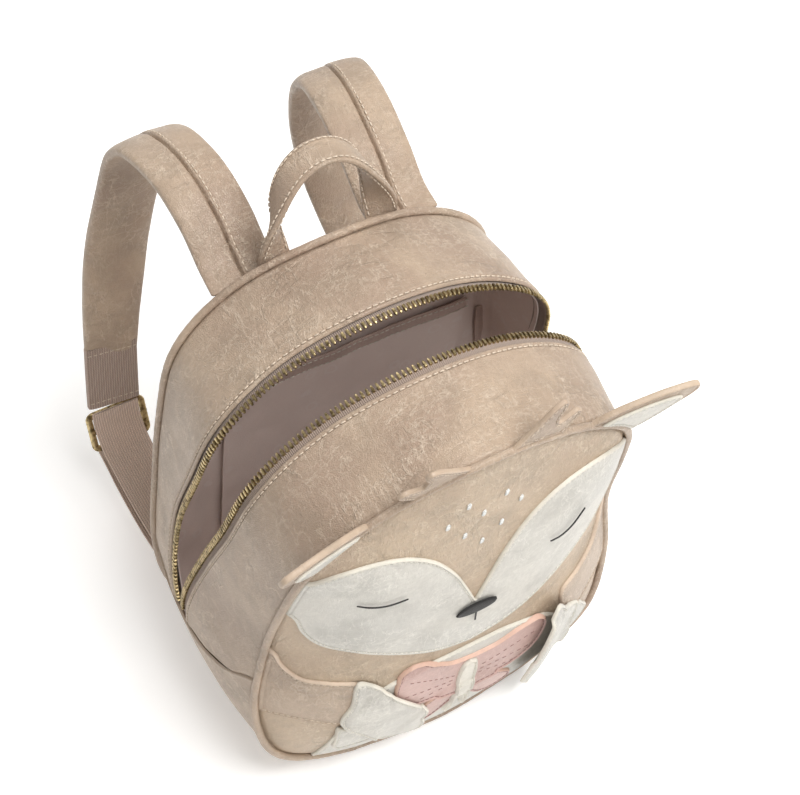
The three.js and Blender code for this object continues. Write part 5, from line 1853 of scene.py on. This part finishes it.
    @staticmethod
    def split(line: Array, keep: Array) -> list[Array]:
        """The stretches of a closed line that are kept, without its jumps."""
        gap = np.linalg.norm(np.roll(line, -1, 0) - line, axis=1) > 4.0
        breaks = np.flatnonzero(~keep | gap)
        if not len(breaks):
            return [np.vstack([line, line[:1]])]
        rolled = np.roll(line, -breaks[0] - 1, 0)
        stops = np.roll(~keep | gap, -breaks[0] - 1)
        runs, current = [], []
        for place, stop in zip(rolled, stops):
            if not stop:
                current.append(place)
            elif len(current) > 12:
                runs.append(np.array(current))
                current = []
            else:
                current = []
        if len(current) > 12:
            runs.append(np.array(current))
        return runs

    def bow_lines(self) -> None:
        """The three dashed lines across each loop of the bow."""
        loops = self.laid[-1]
        rows = []
        angle = math.radians(self.bow_tilt)
        for way in (-1, 1):
            for up in (0.052, 0.012, -0.02):
                across = np.linspace(0.09, 0.345, 60) * way
                z = blend(0.0, up, smooth(0.02, 0.4, np.abs(across))) + up * 0.4
                flat = np.stack([across * HALF_WIDTH, z * BAG_HEIGHT], axis=1)
                flat = flat @ spin(angle) + np.array(self.bow)
                flat = flat[loops.signed(flat) > 3.5]
                if len(flat) > 10:
                    lift = self.ground(flat, -1) + self.thickness + 0.4
                    rows.append((self.skin(flat, lift), FORM.face_normal(flat[:, 0], flat[:, 1])))
        Thread.run("bow_dashes", rows, PINK_THREAD, 4.0, 2.8, 0.6)

    def embroidered(
        self, name: str, flat: Array, width: Array, finish: object, lift: float
    ) -> None:
        """A raised line of thread along places of the face."""
        face = self.skin(flat, self.ground(flat) + self.thickness * (lift > 0) + abs(lift))
        normal = FORM.face_normal(flat[:, 0], flat[:, 1])
        tangent = unit(np.gradient(face, axis=0))
        track = Track(face, unit(np.cross(tangent, normal)), normal)
        sections = np.array([rounded_band(w, 0.9, 13, 1.0) for w in width])
        piece = track.body(name, sections)
        settle(piece, finish, "satin_thread")

    def eyes(self) -> None:
        """The two closed eyes, each a stitched arc."""
        for name, points in (
            ("left_eye", [(-70, 207), (-63, 202.5), (-55, 200.2), (-44, 200.5)]),
            ("right_eye", [(43, 191.5), (50, 190.6), (57, 193.5), (64, 203)]),
        ):
            line = curve_through(np.array(points, float), 60)
            share = np.linspace(0, 1, 60)
            width = 0.5 + 0.75 * np.sin(share * math.pi) ** 0.5
            self.embroidered(name, line, width, DARK_THREAD, 0.3)

    def nose(self) -> None:
        """The nose in satin stitch, with the short line under it."""
        up, half_height, half_width = self.nose_size
        across = np.arange(-11.4, 11.5, 0.5)
        places, ways = [], []
        for index, x in enumerate(across):
            half = half_height * math.sqrt(max(1 - (x / half_width) ** 2, 0.02))
            flat = np.array([[x, up]])
            middle = self.skin(flat, self.ground(flat) + self.thickness + 0.45)[0]
            ends = self.skin(
                np.array([[x - 0.8, up - half], [x + 0.8, up + half]]),
                np.full(2, self.step + self.thickness + 0.1),
            )
            way = ends[1] - ends[0]
            normal = FORM.face_normal(np.array([x]), np.array([up]))[0]
            side = unit(np.cross(way, normal))
            places.append(middle)
            ways.append([way * 0.98, side * (0.8 + 0.1 * (index % 2)), normal * 1.5])
        Thread.stitch = Thread.stitch or model_stitch()
        piece = Thread.stitch.repeated("nose_satin", np.array(places), np.array(ways))
        shade(piece, 70)
        settle(piece, DARK_THREAD, "satin_thread", "nose")
        line = np.stack([np.zeros(20), np.linspace(154.5, 146.5, 20)], axis=1)
        self.embroidered("mouth_line", line, np.full(20, 1.1), DARK_THREAD, 0.3)

    def freckles(self) -> None:
        """The white freckles on the forehead, each a few satin stitches."""
        spots = (
            (11, 257), (21, 244), (-11, 259), (-2, 248), (10, 231), (-22, 247), (-12, 234), (-1, 222)
        )
        places, ways = [], []
        for x, z in spots:
            for shift in (-0.75, -0.25, 0.25, 0.75):
                flat = np.array([[x + shift, z]])
                normal = FORM.face_normal(flat[:, 0], flat[:, 1])[0]
                along = unit(np.array([0.18, 0.0, 1.0]))
                along = unit(along - normal * along.dot(normal))
                side = np.cross(along, normal)
                length = 5.4 - 2.2 * abs(shift)
                places.append(self.skin(flat, np.array([0.35]))[0])
                ways.append([along * length, side * 0.72, normal * 1.1])
        Thread.stitch = Thread.stitch or model_stitch()
        piece = Thread.stitch.repeated("freckles", np.array(places), np.array(ways))
        shade(piece, 70)
        settle(piece, WHITE_THREAD, "satin_thread")


# Ears and antlers


@dataclass
class Standing:
    """A leaf's frame where it stands up out of the front seam, leaning forward."""

    side: Side
    start: float
    end: float
    lean: float
    first: Array = field(init=False)
    along: Array = field(init=False)
    out: Array = field(init=False)
    face: Array = field(init=False)
    foot: Array = field(init=False)
    length: float = field(init=False)

    def __post_init__(self) -> None:
        """Works out the leaf's axes from the stretch of seam it is caught in."""
        station = np.linspace(self.start, self.end, 12)
        away = EDGE - 0.6
        x = (FORM.read(FORM.x, station) + FORM.read(FORM.out_x, station) * away) * self.side.value
        z = FORM.read(FORM.z, station) + FORM.read(FORM.out_z, station) * away
        points = np.stack([x, FORM.read(FORM.front, station), z], axis=1)
        self.first = points[0]
        self.length = float(np.linalg.norm(points[-1] - points[0]))
        self.along = unit(points[-1] - points[0])
        angle = math.radians(self.lean)
        up = unit(np.array([-self.along[2], 0, self.along[0]])) * self.side.value
        out = up * math.cos(angle)
        out[1] = -math.sin(angle)
        self.out = unit(out - self.along * out.dot(self.along))
        self.face = unit(np.cross(self.along, self.out))
        arm = points - self.first
        self.foot = np.stack([arm @ self.along, arm @ self.out], axis=1)

    @property
    def forward(self) -> float:
        """1 if the frame's face looks forward, else -1."""
        return -1.0 if self.face[1] > 0 else 1.0

    def ring(self, outline: Sequence[tuple[float, float]], height: float) -> Array:
        """The leaf's outline in its own plane, closed along the seam."""
        free = np.array(outline) * [self.length, height]
        curve = curve_through(np.vstack([self.foot[:1], free, self.foot[-1:]]), 220)
        ring = np.vstack([curve, self.foot[-2:0:-1]])
        return spaced(np.vstack([ring, ring[:1]]), 301)[:-1]

    def world(self, flat: Array, height: Array, bend: float = 0.0) -> Array:
        """Points of the leaf's plane, at heights along its face, in the bag's frame."""
        curl = bend * (flat[:, 1] / 40) ** 2
        return (
            self.first
            + flat[:, :1] * self.along
            + flat[:, 1:2] * self.out
            + (height + curl)[:, None] * self.face
        )

    def leaf(
        self, name: str, ring: Array, middle: float, thickness: float, bend: float = 0.0
    ) -> tuple[Piece, Leaf]:
        """A leaf with two like faces about a plane beside its own."""
        leaf = Leaf(ring, rim=0.9)
        half = leaf.crown(thickness / 2, 0.18)
        top = self.world(leaf.points, middle + half, bend)
        bottom = self.world(leaf.points, middle - half, bend)
        return leaf.body(name, top, bottom), leaf


@dataclass
class EarsAndAntlers:
    """The fawn's two ears with their cream liners, and its two little antlers."""

    ear_length: float = 50.0
    ear_thickness: float = 3.2
    antler_height: float = 31.0
    antler_thickness: float = 2.6
    ear_lean: dict[Side, float] = field(default_factory=lambda: {Side.LEFT: 22.0, Side.RIGHT: 16.0})
    antler_lean: dict[Side, float] = field(
        default_factory=lambda: {Side.LEFT: 16.0, Side.RIGHT: 4.0}
    )

    def build(self) -> None:
        """Makes both ears and both antlers."""
        for side in Side:
            self.ear(side)
            self.antler(side)

    def sewn(
        self, name: str, frame_: Standing, leaf: Leaf, at: float, way: float, thread: object
    ) -> None:
        """Stitches one face of a standing leaf."""
        line = leaf.stitch_line(leaf.stitch_inset)
        keep = line[:, 1] > 3.0
        rows = []
        for run in Fawn.split(line, keep):
            normals = np.broadcast_to(frame_.face * way, (len(run), 3))
            rows.append((frame_.world(run, np.full(len(run), at * 1.0)), normals))
        Thread.run(name, rows, thread, 3.3, 2.5, 0.6)

    def ear(self, side: Side) -> None:
        """One ear: a leather leaf with a smaller cream one on its front."""
        stand = Standing(side, 1.22, 2.04, self.ear_lean[side])
        way = stand.forward
        ring = stand.ring(EAR_OUTLINE, self.ear_length)
        piece, leaf = stand.leaf(f"{side.word}_ear", ring, 0.0, self.ear_thickness)
        settle(piece, TAUPE, "leather", f"ear_{side.word}")
        leaf.edged(piece, EAR_EDGE, 0.5)
        back = -way * (self.ear_thickness / 2 + 0.05)
        self.sewn(f"{side.word}_ear_stitches", stand, leaf, back, -way, SEWING)
        middle = ring.mean(0)
        inner = middle + (ring - middle) * [0.74, 0.74] + [0, -0.06 * self.ear_length]
        inner[:, 1] = np.maximum(inner[:, 1], 1.2)
        at = way * (self.ear_thickness / 2 + 0.75)
        liner, small = stand.leaf(f"{side.word}_liner", spaced(inner, 301)[:-1], at, 1.5)
        settle(liner, CREAM, "cream_leather", f"ear_liner_{side.word}")
        small.edged(liner, CREAM_EDGE, 0.9)
        top = at + way * 0.8
        self.sewn(f"{side.word}_liner_stitches", stand, small, top, way, CREAM_THREAD)

    def antler(self, side: Side) -> None:
        """One antler: two prongs of doubled leather with stitched edges."""
        stand = Standing(side, 0.21, 0.76, self.antler_lean[side])
        ring = stand.ring(ANTLER_OUTLINE, self.antler_height)
        piece, leaf = stand.leaf(f"{side.word}_antler", ring, 0.0, self.antler_thickness)
        settle(piece, TAUPE, "leather", f"antler_{side.word}")
        leaf.edged(piece, EAR_EDGE, 0.6)
        for way in (-1.0, 1.0):
            name = f"{side.word}_antler_stitches_{'front' if way == stand.forward else 'back'}"
            self.sewn(name, stand, leaf, way * (self.antler_thickness / 2 + 0.05), way, SEWING)


# Handle and straps


@dataclass
class Handle:
    """The flat top handle, sewn in side by side and edge-on at its top."""

    spread: float = 64.0
    rise: float = 53.0
    lean: float = 13.0
    width: float = 18.6
    thickness: float = 4.0
    foot: float = 12.0

    def build(self) -> None:
        """Makes the handle and its two rows of stitches on each face."""
        track = self.track(180)
        piece = track.body("carry_handle", self.section())
        settle(piece, TAUPE, "leather", "top_handle")
        rows = []
        inset = self.width / 2 - 2.1
        for across in (-inset, inset):
            for face in (-1, 1):
                line = track.point(across, face * (self.thickness / 2 + 0.02))[6:-6]
                rows.append((line, track.thick[6:-6] * face))
        Thread.run("handle_stitches", rows, SEWING, 3.4, 2.6, 0.85)

    def section(self) -> Array:
        """The handle's section: padded in the middle, pressed in along its stitches."""
        section = rounded_band(self.width, self.thickness, 73, 0.62)
        away = self.width / 2 - np.abs(section[:, 0])
        pressed = 1 - 0.16 * hill(away - 2.1, 0.6) + 0.12 * smooth(2.6, 6, away)
        return section * np.stack([np.ones_like(pressed), pressed], axis=1)

    def track(self, count: int) -> Track:
        """The handle's line, its width turning from along the seam to across it."""
        turn = np.linspace(-1, 1, count)
        swing, lift = np.sin(turn * math.pi / 2), np.cos(turn * math.pi / 2)
        x = np.sign(swing) * np.abs(swing) ** 0.9 * self.spread / 2
        base_y = float(FORM.read(FORM.back, 1.0)) + EDGE - 1.85 + self.thickness / 2
        z = BAG_HEIGHT - self.foot + self.rise * lift
        line = np.stack([x, base_y + self.lean * lift, z], axis=1)
        line = spaced(line, count)
        lift = np.clip((line[:, 2] - (BAG_HEIGHT - self.foot)) / self.rise, 0, 1)
        twist = np.sin(np.clip(lift / 0.9, 0, 1) * math.pi / 2) * math.pi / 2
        sign = np.where(line[:, 0] < 0, -1.0, 1.0)
        tangent = unit(np.gradient(line, axis=0))
        wide = np.stack([sign * np.cos(twist), -np.sin(twist), 0 * twist], axis=1)
        wide = unit(wide - tangent * (wide * tangent).sum(1, keepdims=True))
        return Track(line, wide, unit(np.cross(tangent, wide)))


@dataclass
class Straps:
    """The shoulder straps with their sleeves, buckles and webbing."""

    width: float = 40.0
    thickness: float = 9.0
    sleeve_width: float = 33.0
    sleeve_thickness: float = 5.6
    webbing_width: float = 30.0
    webbing_thickness: float = 1.7
    buckle_width: float = 39.0
    buckle_height: float = 29.0
    bar: float = 2.1
    lean: float = 21.0

    def build(self) -> None:
        """Makes both straps with all that is on them."""
        for side in Side:
            self.strap(side)
            self.band(side, "sleeve", SLEEVE, self.sleeve_width, self.sleeve_thickness, "strap_sleeve")
            self.band(side, "webbing", WEBBING, self.webbing_width, self.webbing_thickness, "webbing")
            self.band(
                side, "return", WEBBING_RETURN, self.webbing_width, self.webbing_thickness,
                "webbing_return",
            )
            self.buckle(side)

    @staticmethod
    def placed(rows: Sequence[Sequence[float]], side: Side) -> Array:
        """A table's places in millimetres, on one side of the bag."""
        table = np.array(rows)[:, :3]
        return table * [HALF_WIDTH * side.value, BAG_DEPTH, BAG_HEIGHT]

    def strap(self, side: Side) -> None:
        """One padded strap with a seam down the middle of its outer face."""
        count = 240
        track = Track.level(self.placed(STRAP, side), count)
        outward = track.line - np.array([0, 118.0, 150.0])
        outward[:, 0] = 0
        if (outward * track.thick).sum() < 0:
            track.thick = -track.thick
        table = np.array(STRAP)
        share = np.linspace(0, len(STRAP) - 1, count)
        width = np.interp(share, range(len(STRAP)), table[:, 3]) * self.width
        thick = np.interp(share, range(len(STRAP)), table[:, 4]) * self.thickness
        seam = math.pi / 2 + np.linspace(-0.2, 0.2, 33)
        angle = np.unique(np.concatenate([np.linspace(0, 2 * math.pi, 97), seam]))
        across = np.sign(np.cos(angle)) * np.abs(np.cos(angle)) ** 0.75
        through_it = np.sign(np.sin(angle)) * np.abs(np.sin(angle)) ** 0.62
        outer = through_it > 0
        groove = hill(across * self.width / 2, 0.8) * 2.5
        fold = 0.55 * smooth(0.2, 1.0, across * self.width / 2) * np.exp(-np.abs(across) * 3)
        pressed = 0.4 * hill(across * self.width / 2 - 2.6, 0.6)
        sections = np.empty((count, len(angle), 2))
        for index in range(count):
            puff = 1 + 0.04 * math.sin(index * 0.21 + side.value)
            through_here = through_it * thick[index] / 2 * puff
            sections[index, :, 0] = across * width[index] / 2
            sections[index, :, 1] = through_here + outer * (fold - groove - pressed)
        sections[:, -1] = sections[:, 0]
        rows = (
            track.line[:, None]
            + track.wide[:, None] * sections[..., :1]
            + track.thick[:, None] * sections[..., 1:]
        )
        wrinkle = 0.55 * ripple(rows, 24, 11.0 + side.value) + 0.25 * ripple(rows, 9, 12.0)
        sections[..., 1] += wrinkle * np.sign(through_it) * np.abs(through_it)
        sections[:, -1] = sections[:, 0]
        piece = track.body(f"{side.word}_strap", sections, ends=1.5)
        settle(piece, TAUPE, "leather", f"strap_{side.word}")
        line = np.array(
            [
                track.line[i] + track.wide[i] * 2.6 + track.thick[i] * (thick[i] / 2 + 0.15)
                for i in range(5, count - 3)
            ]
        )
        Thread.run(f"{side.word}_strap_stitches", [(line, track.thick[5:-3])], SEWING, 3.6, 2.7, 0.95)

    def band(
        self, side: Side, word: str, rows: Sequence[Sequence[float]], width: float,
        thickness: float, node: str,
    ) -> None:
        """A ribbed band: the strap's sleeve or one layer of webbing."""
        track = Track.level(self.placed(rows, side), 90)
        section = rounded_band(width, thickness, 49, 0.35)
        piece = track.body(f"{side.word}_{word}", section, uv=True, ends=0.3)
        # The sleeve keeps the webbing's own colour; the webbing below the buckle and its return get the
        # copy with painted light.
        finish = WEBBING_FINISH if node == "strap_sleeve" else PAINTED_LIGHT_WEBBING
        settle(piece, finish, "ribbed_webbing", f"{node}_{side.word}")
        if word == "sleeve":
            lines = []
            for face in (-1, 1):
                for along in (8, 80):
                    across = np.linspace(-width / 2 + 2, width / 2 - 2, 20)
                    line = track.line[along] + track.wide[along] * across[:, None]
                    line = line + track.thick[along] * face * (thickness / 2 + 0.1)
                    lines.append((line, np.tile(track.thick[along] * face, (20, 1))))
            Thread.run(f"{side.word}_sleeve_stitches", lines, SEWING, 3.2, 2.4, 0.6)

    def buckle(self, side: Side) -> None:
        """The three-bar slide of antique brass."""
        angle = math.radians(self.lean)
        end = self.placed(SLEEVE, side)[-1]
        drop = self.buckle_height / 2 + 2.5
        centre = np.array(
            [
                side.value * WEBBING[0][0] * HALF_WIDTH,
                end[1] - drop * math.sin(angle),
                end[2] - drop * math.cos(angle),
            ]
        )
        up = np.array([0, math.sin(angle), math.cos(angle)])
        across = np.array([1.0, 0, 0])
        half_w, half_h, corner = self.buckle_width / 2 - self.bar, self.buckle_height / 2 - self.bar, 3.0
        ring = []
        for quarter, (sx, sz) in enumerate(((1, 1), (-1, 1), (-1, -1), (1, -1))):
            for step in np.linspace(0, math.pi / 2, 9):
                turn = quarter * math.pi / 2 + step
                ring.append(
                    (sx * (half_w - corner) + corner * math.cos(turn),
                     sz * (half_h - corner) + corner * math.sin(turn))
                )
        ring = spaced(np.array(ring + ring[:1]), 161)
        line = centre + across * ring[:, :1] + up * ring[:, 1:]
        normal = np.cross(across, up)
        tangent = unit(np.roll(line[:-1], -1, 0) - np.roll(line[:-1], 1, 0))
        tangent = np.vstack([tangent, tangent[:1]])
        wide = unit(np.cross(tangent, normal))
        section = rounded_band(2 * self.bar, 2.6, 17, 0.62)
        rows = line[:, None] + wide[:, None] * section[None, :, :1] + normal * section[None, :, 1:]
        frame_piece = net(f"{side.word}_buckle_frame", rows)
        tidy_normals(frame_piece)
        shade(frame_piece, 60)
        settle(frame_piece, BRASS, "antique_brass", f"buckle_{side.word}")
        places = centre + across * np.linspace(-half_w, half_w, 30)[:, None]
        bar = Track(places, np.tile(up, (30, 1)), np.tile(normal, (30, 1)))
        piece = bar.body(f"{side.word}_buckle_bar", rounded_band(3.4, 2.4, 17, 0.7))
        settle(piece, BRASS, "antique_brass")


# The studio


@dataclass
class Studio:
    """The camera, the pale floor and the soft lights."""

    eye: tuple[float, float, float] = (-0.3735, -0.5397, 1.1789)
    right: tuple[float, float, float] = (0.8682, -0.4928, 0.0584)
    down: tuple[float, float, float] = (-0.3756, -0.7295, -0.5717)
    forward: tuple[float, float, float] = (0.3243, 0.4744, -0.8184)
    lens: float = 99.17
    lights: list[Piece] = field(default_factory=list)

    def camera(self) -> None:
        """Puts the camera where the photograph was taken from."""
        data = bpy.data.cameras.new("camera")
        data.lens, data.sensor_width, data.clip_start = self.lens, 36.0, 0.05
        camera = bpy.data.objects.new("camera", data)
        bpy.context.collection.objects.link(camera)
        turn = Matrix((self.right, [-v for v in self.down], [-v for v in self.forward])).transposed()
        camera.matrix_world = Matrix.Translation(self.eye) @ turn.to_4x4()
        bpy.context.scene.camera = camera

    def panel_light(
        self, name: str, place: tuple[float, float, float], size: float, watts: float
    ) -> None:
        """A square soft light that looks at the bag."""
        data = bpy.data.lights.new(name, "AREA")
        data.shape, data.size, data.energy = "SQUARE", size, watts
        light = bpy.data.objects.new(name, data)
        bpy.context.collection.objects.link(light)
        way = Vector((0, 0, 0.14)) - Vector(place)
        turn = way.to_track_quat("-Z", "Y").to_matrix().to_4x4()
        light.matrix_world = Matrix.Translation(place) @ turn
        self.lights.append(light)

    def build(self) -> None:
        """Makes the floor and the lights."""
        clear_choice()
        bpy.ops.mesh.primitive_plane_add(size=8.0, location=(0, 0, -0.0004))
        floor = bpy.context.object
        floor.name = "floor"
        bpy.ops.object.transform_apply(location=True, rotation=False, scale=False)
        sheet = NodeSheet("studio_floor")
        white = (0.93, 0.93, 0.925)
        material = sheet.dress(
            Base_Color=white, Roughness=0.9, Emission_Color=white, Emission_Strength=0.3
        )
        floor.data.materials.append(material)
        floor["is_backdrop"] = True
        self.panel_light("above", (0.3, -0.45, 1.6), 1.0, 27.0)
        self.panel_light("front", (0.6, -1.6, 0.75), 1.3, 4.5)
        self.panel_light("back", (0.1, 1.5, 1.2), 1.0, 8.0)
        world = bpy.data.worlds.new("studio")
        world.use_nodes = True
        world.node_tree.nodes["Background"].inputs["Color"].default_value = (1.0, 0.975, 0.94, 1.0)
        world.node_tree.nodes["Background"].inputs["Strength"].default_value = 0.39
        bpy.context.scene.world = world
        bpy.context.scene.view_settings.view_transform = "Standard"


PARTS = (Shell(), Zip(), Inside(), Fawn(), EarsAndAntlers(), Handle(), Straps())


def main() -> None:
    """Builds the camera, each part of the backpack and the studio, and works out both boxes."""
    logging.basicConfig(level=logging.INFO, format="%(name)s %(message)s")
    studio = Studio()
    studio.camera()
    for part in PARTS:
        log.info("building %s", type(part).__name__)
        part.build()
    studio.build()
    clear_choice()
    boxes = [[[float(v) for v in corner] for corner in box] for box in (CAD_BOX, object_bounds())]


if __name__ == "__main__":
    main()
